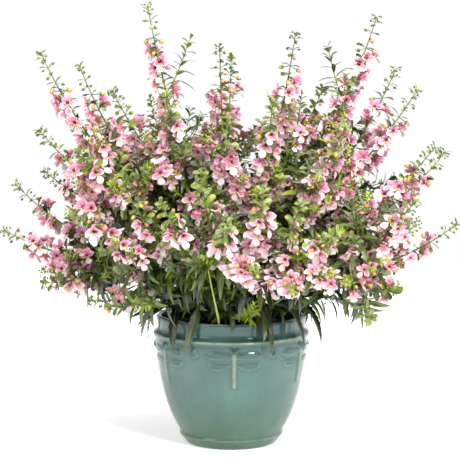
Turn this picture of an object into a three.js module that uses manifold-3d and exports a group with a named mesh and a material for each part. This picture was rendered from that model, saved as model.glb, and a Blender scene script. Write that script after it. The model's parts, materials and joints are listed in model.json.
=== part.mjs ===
// A potted angelonia: a glazed planter with a frieze of dragonflies, the potting mix in it, leafy shoots that
// stand in the mix and branch, and a spike of two-lipped flowers, buds and bracts at the end of each branch.
// Millimetres, +Z up, the origin at the centre of the planter's flat base, -Y towards the viewer.
import * as THREE from "three";
import { mergeVertices } from "three/addons/utils/BufferGeometryUtils.js";
import Module from "manifold-3d";

const wasm = await Module();
wasm.setup();
const { Manifold } = wasm;

// Driving dimensions of the planter
const POT_HEIGHT = 163;
const FOOT_RADIUS = 58;
const SHOULDER_RADIUS = 96.5;
const SHOULDER_Z = 133;
const RIB_RADIUS = 98.5;
const RIB_Z = 140;
const BAND_RADIUS = 93.5;
const WALL = 7.5;
const FLOOR = 12;
const POT_SIDES = 24;
const DRAIN_HOLES = 3;
const DRAIN_RADIUS = 5;
const DRAIN_RING = 26;

// Driving dimensions of the frieze
const DRAGONFLIES = 6;
const FRIEZE_TURN = THREE.MathUtils.degToRad(2);
const RELIEF_RISE = 2.4;
const RELIEF_ROOT = 3;
const HEAD_RADIUS = 4.6;
const HEAD_RISE = 4.5;
const HEAD_Z = 131;
const BUTTON_RADIUS = 5.2;
const BUTTON_RISE = 3;
const BUTTON_Z = 125.5;

// Driving dimensions of the mix and the plant
const MIX_TOP = 149;
const MIX_DOME = 4;
const GAP = 0.35;
const ROOT_DEPTH = 18;
const CROWN_SPREAD = 0.15;
const LEADER_RADIUS = 2.8;
const BRANCH_RADIUS = 1.8;
const SPIKE_RADIUS = 1.5;
const SPIKE_TIP_RADIUS = 0.7;
const SPIKE_LENGTH = 150;
const MAX_SPIKE_SHARE = 0.55;
const FLOWER_ZONE = 0.6;
const FLOWER_SPACING = 19;
const LEAF_LENGTH = 74;
const LEAF_SLIMNESS = 0.22;
const LEAF_THICKNESS = 1.4;
const LEAF_DROOP = 1.1;
const LEADER_PAIRS = [0.5, 0.8];
const TWIG_ROOT = 0.1;
const TWIG_REACH = 86;
const TWIG_HEIGHT = 190;
const TWIG_RADIUS = 1.6;
const FLOWER_RADIUS = 14;
const FLOWER_REACH = 15;
const BUD_LENGTH = 13;
const BUD_RADIUS = 2.8;
const BRACT_LENGTH = 15;
const BRACT_RADIUS = 3.5;

// Each shoot is the tips of its flower spikes, the leading one first. Their places come from the photo at
// 1.25 mm to a pixel, with a depth chosen by eye, and those behind the pot repeat the spacing of those in front.
// The shoots are listed counterclockwise round the planter, starting just in front of its +X side.
const SHOOTS = [
  [[280, -30, 280], [220, -110, 315], [200, -110, 210]],
  [[180, -10, 535], [135, -120, 405], [160, 130, 455]],
  [[80, 0, 515], [50, -95, 435], [120, 100, 445]],
  [[275, 50, 365], [250, -40, 375]],
  [[210, 50, 470], [230, -20, 445]],
  [[80, 180, 415], [185, 180, 305], [45, 230, 275]],
  [[-15, 60, 500], [-5, -110, 415], [0, 130, 485]],
  [[-110, 175, 430], [-195, 185, 305]],
  [[-195, 60, 475], [-240, 50, 340], [-175, 160, 400]],
  [[-105, 20, 550], [-145, -50, 445], [-80, -80, 440]],
  [[-275, 30, 325], [-285, -10, 270], [-230, -60, 210]],
  [[-235, -20, 490], [-235, -40, 395], [-180, -115, 375]],
  [[-125, -165, 340], [-170, -105, 195], [-185, -130, 300]],
  [[-35, -185, 355], [-80, -205, 320], [-5, -225, 300]],
  [[80, -190, 320], [35, -205, 335], [120, -195, 285]],
];
const FIRST_TWIG_HEADING = -0.35;

const UP = new THREE.Vector3(0, 0, 1);
const GOLDEN_ANGLE = Math.PI * (3 - Math.sqrt(5));

const finish = (color, roughness) => new THREE.MeshStandardMaterial({ color, roughness, metalness: 0 });
const GLAZE = finish(0x789c94, 0.15);
const MIX = finish(0x2b2019, 0.95);
const FOLIAGE = finish(0x3f6b33, 0.45);
const PETALS = finish(0xe58fb4, 0.6);

// Turning a three.js geometry into a solid and back

function solid(geometry) {
  const bare = geometry.clone();
  bare.deleteAttribute("normal");
  bare.deleteAttribute("uv");
  const merged = mergeVertices(bare, 1e-4);
  const mesh = new wasm.Mesh({
    numProp: 3,
    vertProperties: new Float32Array(merged.attributes.position.array),
    triVerts: new Uint32Array(merged.index.array),
  });
  return new Manifold(mesh);
}

function geometryOf(body) {
  const mesh = body.getMesh();
  const geometry = new THREE.BufferGeometry();
  geometry.setAttribute("position", new THREE.BufferAttribute(mesh.vertProperties, 3));
  geometry.setIndex(new THREE.BufferAttribute(mesh.triVerts, 1));
  geometry.computeVertexNormals();
  return geometry;
}

// Moves every vertex of a geometry to the point that move(x, y, z) gives
function reshape(geometry, move) {
  const position = geometry.attributes.position;
  for (let i = 0; i < position.count; i++) {
    const p = move(position.getX(i), position.getY(i), position.getZ(i));
    position.setXYZ(i, p.x, p.y, p.z);
  }
  return geometry;
}

function meshOf(points, faces) {
  const geometry = new THREE.BufferGeometry();
  geometry.setAttribute("position", new THREE.Float32BufferAttribute(points.flat(), 3));
  geometry.setIndex(faces.flat());
  return geometry;
}

// The planter

const bellyCurve = new THREE.CubicBezierCurve(
  new THREE.Vector2(FOOT_RADIUS + 7, 16),
  new THREE.Vector2(80, 38),
  new THREE.Vector2(94, 80),
  new THREE.Vector2(SHOULDER_RADIUS, SHOULDER_Z),
);

// The belly's outer radius at a height, found by halving
function bellyRadius(z) {
  let low = 0;
  let high = 1;
  while (high - low > 1e-6) {
    const middle = (low + high) / 2;
    if (bellyCurve.getPoint(middle).y < z) low = middle;
    else high = middle;
  }
  return bellyCurve.getPoint(low).x;
}

function potProfile() {
  const foot = [[0, 0], [FOOT_RADIUS, 0], [FOOT_RADIUS + 8, 11], [FOOT_RADIUS + 8, 14]];
  const belly = bellyCurve.getPoints(5).map((p) => [p.x, p.y]);
  const rib = [[RIB_RADIUS, RIB_Z - 2], [RIB_RADIUS, RIB_Z + 1], [BAND_RADIUS, RIB_Z + 5]];
  const rim = [[BAND_RADIUS + 0.8, POT_HEIGHT - 2], [BAND_RADIUS - 1, POT_HEIGHT], [BAND_RADIUS - 5, POT_HEIGHT]];
  const inner = [[SHOULDER_RADIUS - WALL - 3, SHOULDER_Z], innerBelly()];
  const floor = [[FOOT_RADIUS - 8, FLOOR], [0, FLOOR]];
  return [...foot, ...belly, ...rib, ...rim, ...inner, ...floor].map(([r, z]) => new THREE.Vector2(r, z));
}

// Half way up the inside of the wall
function innerBelly() {
  const middle = bellyCurve.getPoint(0.45);
  return [middle.x - WALL - 1, middle.y];
}

// A point at an angle round the planter's axis, counted from the front, with x along the wall and `out` from it
function onWall(angle, along, z, out) {
  const radius = bellyRadius(z) + out;
  const turn = angle + along / SHOULDER_RADIUS;
  return new THREE.Vector3(radius * Math.sin(turn), -radius * Math.cos(turn), z);
}

function reliefPlate(outline, angle) {
  const shape = new THREE.Shape(outline.map(([along, z]) => new THREE.Vector2(along, z)));
  const depth = RELIEF_RISE + RELIEF_ROOT;
  const plate = new THREE.ExtrudeGeometry(shape, { depth, bevelEnabled: false });
  return reshape(plate, (along, z, out) => onWall(angle, along, z, out - RELIEF_ROOT));
}

// A six-sided knob with a flat top
function reliefKnob(radius, rise, height, angle) {
  const knob = new THREE.CylinderGeometry(0.55, 1, 1, 6);
  return reshape(knob, (x, y, z) => onWall(angle, x * radius, height - z * radius, y > 0 ? rise : -RELIEF_ROOT));
}

function dragonfly(angle) {
  const upperWing = [[2.5, 120], [29, 119.5], [35.5, 124], [27, 129.5], [12, 128]];
  const lowerWing = [[2.5, 114], [13, 107], [29, 108], [32, 115.5]];
  const body = [[-3.2, 127.5], [-2.6, 84], [2.6, 84], [3.2, 127.5]];
  const mirrored = (outline) => outline.map(([along, z]) => [-along, z]).reverse();
  const plates = [upperWing, lowerWing, mirrored(upperWing), mirrored(lowerWing), body];
  const head = reliefKnob(HEAD_RADIUS, HEAD_RISE, HEAD_Z, angle);
  return [...plates.map((outline) => reliefPlate(outline, angle)), head];
}

function buildPot() {
  const shell = new THREE.LatheGeometry(potProfile(), POT_SIDES).rotateX(Math.PI / 2);
  let pot = solid(shell.rotateZ(Math.PI / POT_SIDES));
  const step = (2 * Math.PI) / DRAGONFLIES;
  for (let i = 0; i < DRAGONFLIES; i++) {
    const angle = FRIEZE_TURN + i * step;
    const button = reliefKnob(BUTTON_RADIUS, BUTTON_RISE, BUTTON_Z, angle + step / 2);
    for (const piece of [...dragonfly(angle), button]) pot = pot.add(solid(piece));
  }
  for (let i = 0; i < DRAIN_HOLES; i++) {
    const turn = (i / DRAIN_HOLES) * 2 * Math.PI;
    const hole = new THREE.CylinderGeometry(DRAIN_RADIUS, DRAIN_RADIUS, 3 * FLOOR, 8).rotateX(Math.PI / 2);
    hole.translate(DRAIN_RING * Math.cos(turn), DRAIN_RING * Math.sin(turn), 0);
    pot = pot.subtract(solid(hole));
  }
  return pot;
}

// Stems: the curves first, then the rods along them

// A stem leaves its start in the direction given, leans out, and turns up a little at its tip
function stemCurve(start, direction, tip) {
  const chord = tip.clone().sub(start);
  const length = chord.length();
  const endDirection = chord.clone().normalize().addScaledVector(UP, 0.22).normalize();
  const first = start.clone().addScaledVector(direction, 0.24 * length);
  const second = tip.clone().addScaledVector(endDirection, -0.38 * length);
  return new THREE.CubicBezierCurve3(start, first, second, tip);
}

// The stretch of a curve between two shares of its length, made of a number of straight steps
class Stretch extends THREE.Curve {
  constructor(whole, from, to, steps) {
    super();
    this.whole = whole;
    this.from = from;
    this.to = to;
    this.steps = steps;
  }
  getPoint(t, target = new THREE.Vector3()) {
    return target.copy(this.whole.getPointAt(this.from + (this.to - this.from) * t));
  }
}

// A closed three-sided rod along a stretch, tapering from one radius to the other
function rod(stretch, startRadius, endRadius) {
  const frames = stretch.computeFrenetFrames(stretch.steps, false);
  const straight = new THREE.CylinderGeometry(1, 1, 1, 3, stretch.steps);
  return reshape(straight, (x, y, z) => {
    const ring = Math.round((y + 0.5) * stretch.steps);
    const share = ring / stretch.steps;
    const radius = startRadius + (endRadius - startRadius) * share;
    const centre = stretch.getPoint(share);
    centre.addScaledVector(frames.binormals[ring], x * radius);
    return centre.addScaledVector(frames.normals[ring], z * radius);
  });
}

// Where something grows from a rod: a point on its axis, the tangent there, and the way out at an angle round
// it, counted from its underside, which is the side it leans to
function perch(stretch, share, angle) {
  const span = Math.min(Math.floor(share * stretch.steps), stretch.steps - 1);
  const from = stretch.getPoint(span / stretch.steps);
  const to = stretch.getPoint((span + 1) / stretch.steps);
  const point = from.clone().lerp(to, share * stretch.steps - span);
  const tangent = to.sub(from).normalize();
  const side = new THREE.Vector3().crossVectors(UP, tangent).normalize();
  const under = new THREE.Vector3().crossVectors(side, tangent);
  const out = under.multiplyScalar(Math.cos(angle)).addScaledVector(side, Math.sin(angle));
  return { point, tangent, out };
}

// The placement of a shape that grows along its own +Z, with its +Y as near `upward` as it can be
function growing(origin, along, upward) {
  const z = along.clone().normalize();
  const x = new THREE.Vector3().crossVectors(upward, z).normalize();
  const y = new THREE.Vector3().crossVectors(z, x);
  return new THREE.Matrix4().makeBasis(x, y, z).setPosition(origin);
}

// Organs: each grows along +Z from its root at the origin, with its upper side towards +Y

// A leaf blade: flat above and keeled below, drooping along an arc. Its edges carry forward-pointing teeth,
// given as shares of the length and of the half width.
const LEAF_EDGE = [[0.16, 0.6], [0.42, 1], [0.48, 0.8], [0.72, 0.66]];
const KEEL_SHARE = 0.4;

function leaf(length) {
  const arcRadius = length / LEAF_DROOP;
  const bent = (t, side, depth) => {
    const angle = LEAF_DROOP * t;
    const radius = arcRadius - depth;
    return [side, radius * Math.cos(angle) - arcRadius, radius * Math.sin(angle)];
  };
  const halfWidth = (LEAF_SLIMNESS * length) / 2;
  const right = LEAF_EDGE.map(([t, w]) => bent(t, w * halfWidth, 0));
  const left = LEAF_EDGE.map(([t, w]) => bent(t, -w * halfWidth, 0));
  const points = [bent(0, 0, 0.3), bent(1, 0, 0), bent(KEEL_SHARE, 0, LEAF_THICKNESS), ...right, ...left];
  const [root, tip, keel] = [0, 1, 2];
  const last = LEAF_EDGE.length - 1;
  const r = (i) => 3 + i;
  const l = (i) => 3 + LEAF_EDGE.length + i;
  const faces = [[root, l(0), r(0)], [r(last), l(last), tip], [root, keel, l(0)], [root, r(0), keel]];
  for (let i = 0; i < last; i++) {
    faces.push([r(i), l(i), r(i + 1)], [l(i), l(i + 1), r(i + 1)]);
    faces.push([keel, r(i), r(i + 1)], [keel, l(i + 1), l(i)]);
  }
  faces.push([keel, r(last), tip], [keel, tip, l(last)]);
  return meshOf(points, faces);
}

// A two-lipped flower: five lobes round a sunken throat, drawn back to a three-sided stalk. Half of its rim is
// given, from the middle of the lowest lobe up to the notch of the upper lip, as the angle in degrees and the
// shares of the radius and of the reach. The other half mirrors it.
const HALF_RIM = [[0, 1.08, 0.85], [38, 0.5, 1], [75, 1, 0.85], [150, 1, 0.85], [180, 0.55, 1]];
const NECK = [[60, 0.15, 0.4], [180, 0.15, 0.4], [300, 0.15, 0.4]];
const NECK_STARTS = [0, 3, 5, 8];

function flower(size) {
  const radius = size * FLOWER_RADIUS;
  const reach = size * FLOWER_REACH;
  const around = ([degrees, r, z]) => {
    const turn = THREE.MathUtils.degToRad(degrees - 90);
    return [r * radius * Math.cos(turn), r * radius * Math.sin(turn), z * reach];
  };
  const mirrored = HALF_RIM.slice(1, -1).map(([degrees, r, z]) => [360 - degrees, r, z]);
  const rim = [...HALF_RIM, ...mirrored.reverse()].map(around);
  const points = [[0, 0, -0.3], [0, 0.1 * radius, 0.65 * reach], ...NECK.map(around), ...rim];
  const [root, throat, firstNeck, firstRim] = [0, 1, 2, 5];
  const rimAt = (k) => firstRim + (k % rim.length);
  const faces = rim.map((_, k) => [throat, rimAt(k), rimAt(k + 1)]);
  for (let n = 0; n < NECK.length; n++) {
    const here = firstNeck + n;
    const next = firstNeck + ((n + 1) % NECK.length);
    for (let k = NECK_STARTS[n]; k < NECK_STARTS[n + 1]; k++) faces.push([rimAt(k + 1), rimAt(k), here]);
    faces.push([rimAt(NECK_STARTS[n + 1]), here, next], [root, next, here]);
  }
  return meshOf(points, faces);
}

// A bud on its stalk or a bract: a three-sided spindle that is fattest at the share `belly` of its length
function spindle(length, halfWidth, halfThickness, belly) {
  const ball = new THREE.SphereGeometry(1, 3, 2).rotateX(Math.PI / 2);
  return reshape(ball, (x, y, z) => {
    const isEnd = Math.abs(z) > 0.5;
    if (isEnd) return new THREE.Vector3(0, 0, z > 0 ? length : -0.3);
    return new THREE.Vector3(x * halfWidth, y * halfThickness, belly * length);
  });
}

// Every solid so far, so that a new leaf, flower or bud can be turned clear of what is already there
const placed = [];

function boxesMeet(a, b) {
  return [0, 1, 2].every((k) => a.min[k] - GAP < b.max[k] && b.min[k] - GAP < a.max[k]);
}

function isClear(body, owner) {
  const box = body.boundingBox();
  const mayTouch = (other) => other.isStem && other.owner === owner;
  return placed.every((other) => {
    if (mayTouch(other) || !boxesMeet(box, other.box)) return true;
    return body.minGap(other.body, 2 * GAP) > GAP;
  });
}

function place(body, owner, isStem = false) {
  placed.push({ body, owner, isStem, box: body.boundingBox() });
  return body;
}

// Grows an organ on a stem at the first turn round it that leaves the organ clear, or leaves it out
const TURNS = [0, 0.3, -0.3, 0.6, -0.6, 0.9, -0.9, 1.2, -1.2];

function grow(owner, bodies, stem, share, angle, rise, organ) {
  for (const turn of TURNS) {
    const { point, tangent, out } = perch(stem, share, angle + turn);
    const along = out.addScaledVector(tangent, rise);
    const body = solid(organ.clone().applyMatrix4(growing(point, along, tangent)));
    if (isClear(body, owner)) {
      bodies.push(place(body, owner));
      return;
    }
  }
}

// Every line of the plant: a leading stem for each shoot, and its branches
const shoots = SHOOTS.map((tips, index) => {
  const points = tips.map((tip) => new THREE.Vector3(...tip));
  const base = new THREE.Vector3(points[0].x * CROWN_SPREAD, points[0].y * CROWN_SPREAD, MIX_TOP - ROOT_DEPTH);
  const leader = stemCurve(base, UP, points[0]);
  const number = String(index + 1).padStart(2, "0");
  const lines = points.map((tip, rank) => {
    if (rank === 0) return { curve: leader };
    const share = 0.16 + 0.12 * rank;
    const start = leader.getPointAt(share);
    const lean = tip.clone().sub(start).normalize();
    const direction = leader.getTangentAt(share).addScaledVector(lean, 0.6).normalize();
    return { curve: stemCurve(start, direction, tip) };
  });
  lines.forEach((line, rank) => {
    line.isLeader = rank === 0;
    line.spikeName = `flower_spike_${number}_${rank + 1}`;
    const length = line.curve.getLength();
    line.spikeLength = Math.min(SPIKE_LENGTH, MAX_SPIKE_SHARE * length);
    const spikeStart = 1 - line.spikeLength / length;
    const gap = GAP / length;
    line.spike = new Stretch(line.curve, spikeStart, 1, 3);
    line.stem = new Stretch(line.curve, line.isLeader ? gap : 0, spikeStart - gap, line.isLeader ? 6 : 4);
  });
  return { name: `shoot_${number}`, lines, bodies: [] };
});
const lines = shoots.flatMap((shoot) => shoot.lines);

function stemRod(line, extra) {
  const radius = line.isLeader ? LEADER_RADIUS : BRANCH_RADIUS;
  return solid(rod(line.stem, radius + extra, SPIKE_RADIUS + extra));
}

// The potting mix, with a plain hole for each shoot
function buildMix() {
  const [middle, middleZ] = innerBelly();
  const top = SHOULDER_RADIUS - WALL - 3 - 2 * GAP;
  const outline = [
    [0, FLOOR + GAP], [FOOT_RADIUS - 10, FLOOR + GAP], [middle - 2 * GAP, middleZ], [top, SHOULDER_Z],
    [top - 1, MIX_TOP - 1], [top * 0.6, MIX_TOP + MIX_DOME * 0.6], [0, MIX_TOP + MIX_DOME],
  ];
  const profile = outline.map(([r, z]) => new THREE.Vector2(r, z));
  const plug = new THREE.LatheGeometry(profile, POT_SIDES / 2).rotateX(Math.PI / 2);
  let mix = solid(plug.rotateZ(Math.PI / POT_SIDES));
  for (const { lines: [leader] } of shoots) mix = mix.subtract(stemRod(leader, 2 * GAP));
  return mix;
}

const pot = place(buildPot(), "planter");
const mix = place(buildMix(), "potting_mix");
for (const shoot of shoots) {
  for (const line of shoot.lines) shoot.bodies.push(place(stemRod(line, 0), shoot.name, true));
}
for (const line of lines) {
  const axis = solid(rod(line.spike, SPIKE_RADIUS, SPIKE_TIP_RADIUS));
  line.bodies = [place(axis, line.spikeName, true)];
}

// A short side shoot low on each leader, which reaches the rim and heads evenly round it
shoots.forEach((shoot, index) => {
  const start = shoot.lines[0].curve.getPointAt(TWIG_ROOT);
  for (const turn of TURNS) {
    const heading = FIRST_TWIG_HEADING + (2 * Math.PI * index) / shoots.length + turn / 2;
    const tip = new THREE.Vector3(TWIG_REACH * Math.cos(heading), TWIG_REACH * Math.sin(heading), TWIG_HEIGHT);
    const twig = new Stretch(stemCurve(start, UP, tip), 0, 1, 2);
    const body = solid(rod(twig, TWIG_RADIUS, 0.7 * TWIG_RADIUS));
    if (isClear(body, shoot.name)) {
      shoot.twig = twig;
      shoot.bodies.push(place(body, shoot.name, true));
      break;
    }
  }
});

// Flowers on the lower part of each spike, a golden angle apart
lines.forEach((line, index) => {
  const count = Math.round((FLOWER_ZONE * line.spikeLength) / FLOWER_SPACING);
  for (let i = 0; i < count; i++) {
    const share = 0.05 + (FLOWER_ZONE * i) / count;
    const size = 1.04 - 0.04 * i;
    grow(line.spikeName, line.bodies, line.spike, share, index + i * GOLDEN_ANGLE, -0.15, flower(size));
  }
});

// Leaves: three at the end of each twig that hang out over the rim, then opposite pairs up every stem, each
// pair a quarter turn from the last
for (const shoot of shoots) {
  const [leader, ...branches] = shoot.lines;
  const addLeaf = (stretch, share, angle, rise, length) => {
    grow(shoot.name, shoot.bodies, stretch, share, angle, rise, leaf(length));
  };
  if (shoot.twig) {
    addLeaf(shoot.twig, 0.95, 0, 0.6, LEAF_LENGTH);
    for (const side of [1.8, -1.8]) addLeaf(shoot.twig, 0.8, side, 0.4, 0.9 * LEAF_LENGTH);
  }
  LEADER_PAIRS.forEach((share, pair) => {
    const angle = ((pair + 1) * Math.PI) / 2;
    const length = LEAF_LENGTH * (0.95 - 0.1 * pair);
    for (const side of [0, Math.PI]) addLeaf(leader.stem, share, angle + side, 0.5, length);
  });
  for (const branch of branches) {
    for (const side of [0, Math.PI]) addLeaf(branch.stem, 0.65, side, 0.5, 0.75 * LEAF_LENGTH);
  }
}

// Buds, then bracts, up the rest of each spike
lines.forEach((line, index) => {
  for (let i = 0; i < 2; i++) {
    const size = 1 - 0.25 * i;
    const angle = index + i * GOLDEN_ANGLE;
    const bract = spindle(size * BRACT_LENGTH, size * BRACT_RADIUS, 0.5, 0.45);
    grow(line.spikeName, line.bodies, line.spike, 0.8 + 0.1 * i, angle, 0.9, bract);
    if (i > 0 && !line.isLeader) continue;
    const bud = spindle(size * BUD_LENGTH, size * BUD_RADIUS, size * BUD_RADIUS, 0.8);
    grow(line.spikeName, line.bodies, line.spike, 0.67 + 0.09 * i, angle + Math.PI, 0.35, bud);
  }
});

// The finished object

const model = new THREE.Group();

function addMesh(name, body, material) {
  const mesh = new THREE.Mesh(geometryOf(body), material);
  mesh.name = name;
  model.add(mesh);
}

addMesh("planter", pot, GLAZE);
addMesh("potting_mix", mix, MIX);
for (const shoot of shoots) addMesh(shoot.name, Manifold.union(shoot.bodies), FOLIAGE);
for (const line of lines) addMesh(line.spikeName, Manifold.union(line.bodies), PETALS);

export default model;
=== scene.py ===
# %% [markdown]
# # Dressing a potted angelonia
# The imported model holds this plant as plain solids: a planter, its potting mix, fifteen shoots and forty-two
# flower spikes. This lesson puts a finished piece over each of them, so that nothing moves or changes size.
# A shoot becomes round stems with toothed leaves, a spike becomes a raceme of five-lobed flowers and buds, and
# the planter becomes a turned pot with a raised frieze under a celadon glaze.

import json
import math
import random

import bmesh
import bpy
import numpy as np
from mathutils import Matrix, Vector
from mathutils.geometry import interpolate_bezier

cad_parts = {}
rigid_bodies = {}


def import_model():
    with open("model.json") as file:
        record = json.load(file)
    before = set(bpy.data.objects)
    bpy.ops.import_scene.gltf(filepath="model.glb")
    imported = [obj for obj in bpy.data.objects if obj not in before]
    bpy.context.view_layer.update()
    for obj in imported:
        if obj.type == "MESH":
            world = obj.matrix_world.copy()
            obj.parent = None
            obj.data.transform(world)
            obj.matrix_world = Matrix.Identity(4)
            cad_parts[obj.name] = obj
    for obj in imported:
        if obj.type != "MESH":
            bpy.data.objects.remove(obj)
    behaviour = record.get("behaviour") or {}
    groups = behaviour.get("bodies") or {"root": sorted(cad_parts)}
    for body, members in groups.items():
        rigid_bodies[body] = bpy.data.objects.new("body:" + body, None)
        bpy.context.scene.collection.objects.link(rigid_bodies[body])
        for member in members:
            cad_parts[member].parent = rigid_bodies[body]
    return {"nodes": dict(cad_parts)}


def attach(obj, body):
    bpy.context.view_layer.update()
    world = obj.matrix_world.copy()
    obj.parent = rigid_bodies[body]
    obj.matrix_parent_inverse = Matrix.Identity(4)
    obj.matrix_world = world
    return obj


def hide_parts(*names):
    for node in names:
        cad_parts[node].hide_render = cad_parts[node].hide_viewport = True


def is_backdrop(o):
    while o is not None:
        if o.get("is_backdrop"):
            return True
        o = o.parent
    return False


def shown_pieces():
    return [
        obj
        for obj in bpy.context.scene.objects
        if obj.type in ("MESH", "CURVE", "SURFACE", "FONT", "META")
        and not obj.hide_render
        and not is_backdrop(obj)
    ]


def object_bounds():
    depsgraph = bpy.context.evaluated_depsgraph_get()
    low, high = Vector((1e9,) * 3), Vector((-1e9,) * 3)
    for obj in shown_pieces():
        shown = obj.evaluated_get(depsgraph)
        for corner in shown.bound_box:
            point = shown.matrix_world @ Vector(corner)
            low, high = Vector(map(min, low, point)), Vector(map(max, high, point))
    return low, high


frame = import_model()
cad_low, cad_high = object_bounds()
MM = 0.001
UP = Vector((0, 0, 1))
print("CAD nodes:", len(frame["nodes"]), "from", tuple(cad_low), "to", tuple(cad_high))

# %% [markdown]
# ## The studio
# A catalogue picture of a plant is taken from far away with a long lens, so that the pot doesn't bulge and its
# rim shows only as a thin ellipse. The camera stands two metres off, a little above the rim, and looks down by
# less than six degrees.

# %% Camera
bpy.ops.object.select_all(action="DESELECT")
bpy.ops.object.camera_add(location=(-0.0016, -2.050, 0.477), rotation=(math.radians(90 - 5.8), 0, 0))
camera = bpy.context.object
camera.data.sensor_width = 36
camera.data.lens = 128.1
camera.data.clip_end = 50
bpy.context.scene.camera = camera
print("camera at", tuple(camera.location), "with a lens of", camera.data.lens, "mm")

# %% [markdown]
# Soft light from a large lamp overhead keeps the shadow on the ground faint. A small bright one in front and to
# the right puts the glints on the frieze, and a weak one fills from the left. The room is white, and its far half
# draws the pale lines down both edges of the glaze. What a glossy face sees behind the camera is darker, as in a
# real studio, and dull faces get less light than the camera is shown, so that the inside of the bush stays dark.


# %% Lamps and surroundings
def add_softbox(name, place, aim, width, watts):
    """A square lamp at place that points at aim."""
    bpy.ops.object.light_add(type="AREA", location=place)
    lamp = bpy.context.object
    lamp.name = name
    lamp.data.shape = "SQUARE"
    lamp.data.size = width
    lamp.data.energy = watts
    lamp.rotation_euler = (Vector(aim) - Vector(place)).to_track_quat("-Z", "Y").to_euler()
    return lamp


add_softbox("top_lamp", (0.3, -0.6, 2.3), (0, 0, 0.1), 1.6, 68)
add_softbox("key_lamp", (1.05, -1.8, 1.4), (0, 0, 0.25), 0.5, 37)
add_softbox("fill_lamp", (-1.7, -1.6, 0.9), (0, 0, 0.25), 1.2, 13)

NEAR_SHARE, DULL_SHARE = 0.25, 0.37
world = bpy.data.worlds.new("white_studio")
bpy.context.scene.world = world
world.use_nodes = True
background = world.node_tree.nodes["Background"]
background.inputs["Color"].default_value = (1, 1, 1, 1)
kinds = ("LightPath", "TexCoord", "SeparateXYZ", "MapRange", "Mix", "Mix")
rays, way, parts, room, dull, seen = (world.node_tree.nodes.new("ShaderNode" + kind) for kind in kinds)
for name, value in {"From Min": -0.4, "From Max": 0.3, "To Min": NEAR_SHARE, "To Max": 1}.items():
    room.inputs[name].default_value = value
dull.inputs[3].default_value = DULL_SHARE
seen.inputs[3].default_value = 1
joints = [(way.outputs["Generated"], parts.inputs[0]), (parts.outputs["Y"], room.inputs["Value"])]
joints += [(rays.outputs["Is Diffuse Ray"], dull.inputs[0]), (room.outputs[0], dull.inputs[2])]
joints += [(rays.outputs["Is Camera Ray"], seen.inputs[0]), (dull.outputs[0], seen.inputs[2])]
for source, target in joints + [(seen.outputs[0], background.inputs["Strength"])]:
    world.node_tree.links.new(source, target)
bpy.context.scene.view_settings.view_transform = "Standard"
bpy.context.scene.view_settings.look = "None"

# %% [markdown]
# ## Mixing a finish
# A finish is a material made of nodes. Written out node by node it is long and hard to read, so one small class
# wraps a socket, and sums on it add the Math nodes. Everything else comes from one method, which takes the kind
# of node, its settings and what goes into its sockets.


# %% A socket that can be added and multiplied
class Wire:
    """An output socket of a finish. Sums with numbers and with other wires add Math nodes."""

    def __init__(self, finish, socket):
        self.finish = finish
        self.socket = socket

    def sum(self, operation, first, second):
        return self.finish.node("Math", {"operation": operation}, {0: first, 1: second})

    def out(self, name):
        return Wire(self.finish, self.socket.node.outputs[name])

    def __add__(self, other):
        return self.sum("ADD", self, other)

    def __sub__(self, other):
        return self.sum("SUBTRACT", self, other)

    def __rsub__(self, other):
        return self.sum("SUBTRACT", other, self)

    def __mul__(self, other):
        return self.sum("MULTIPLY", self, other)

    def __abs__(self):
        return self.sum("ABSOLUTE", self, 0)

    def sine(self):
        return self.sum("SINE", self, 0)

    __radd__ = __add__
    __rmul__ = __mul__


# %% A finish and its nodes
class Finish:
    """A material being mixed."""

    def __init__(self, name):
        self.material = bpy.data.materials.new(name)
        self.material.use_nodes = True
        self.tree = self.material.node_tree
        self.tree.nodes.clear()

    def node(self, kind, settings=None, sockets=None, output=0):
        """Adds a node: its settings first, then the values or wires of its sockets."""
        node = self.tree.nodes.new("ShaderNode" + kind)
        for name, value in (settings or {}).items():
            setattr(node, name, value)
        for name, value in (sockets or {}).items():
            if isinstance(value, Wire):
                self.tree.links.new(value.socket, node.inputs[name])
            else:
                node.inputs[name].default_value = value
        return Wire(self, node.outputs[output]) if output is not None else node

    def blend(self, share, first, second):
        """The second colour over the first, by share."""
        return self.node("Mix", {"data_type": "RGBA"}, {0: share, 6: first, 7: second}, output=2)

    def coats(self, colour, *layers):
        """A colour under layers of (share, red, green, blue), the last one on top."""
        for share, *rgb in layers:
            colour = self.blend(share, colour, shade(*rgb))
        return colour

    def fade(self, value, start, end):
        """0 where value is at start and 1 where it is at end, with a soft passage between."""
        sockets = {"Value": value, "From Min": start, "From Max": end}
        return self.node("MapRange", {"interpolation_type": "SMOOTHSTEP"}, sockets)

    def attribute(self, name):
        """What the modelling stored under this name, as three values."""
        stored = self.node("Attribute", {"attribute_name": name}, output="Vector")
        parts = self.node("SeparateXYZ", sockets={0: stored})
        return parts, parts.out("Y"), parts.out("Z")

    def value(self, name):
        """What the modelling stored under this name, as one value."""
        return self.node("Attribute", {"attribute_name": name}, output="Fac")

    def bump(self, height, strength, distance):
        """Small relief for the last socket of a shader."""
        return self.node("Bump", sockets={"Strength": strength, "Distance": distance, "Height": height})

    def noise(self, scale, detail=2, stretch=(1, 1, 1)):
        """Soft spots of this many per metre, in the object's own place."""
        place = self.node("TexCoord", output="Object")
        place = self.node("Mapping", sockets={"Vector": place, "Scale": stretch})
        return self.node("TexNoise", sockets={"Vector": place, "Scale": scale, "Detail": detail})

    def shine(self, colour, roughness, normal=None, **sockets):
        """Ends the finish in one shader, whose other sockets keep one value all over."""
        named = {name.replace("_", " "): value for name, value in sockets.items()}
        named |= {"Base Color": colour, "Roughness": roughness}
        if normal:
            named["Normal"] = normal
        shader = self.node("BsdfPrincipled", sockets=named)
        self.node("OutputMaterial", sockets={"Surface": shader}, output=None)
        return self.material


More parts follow.
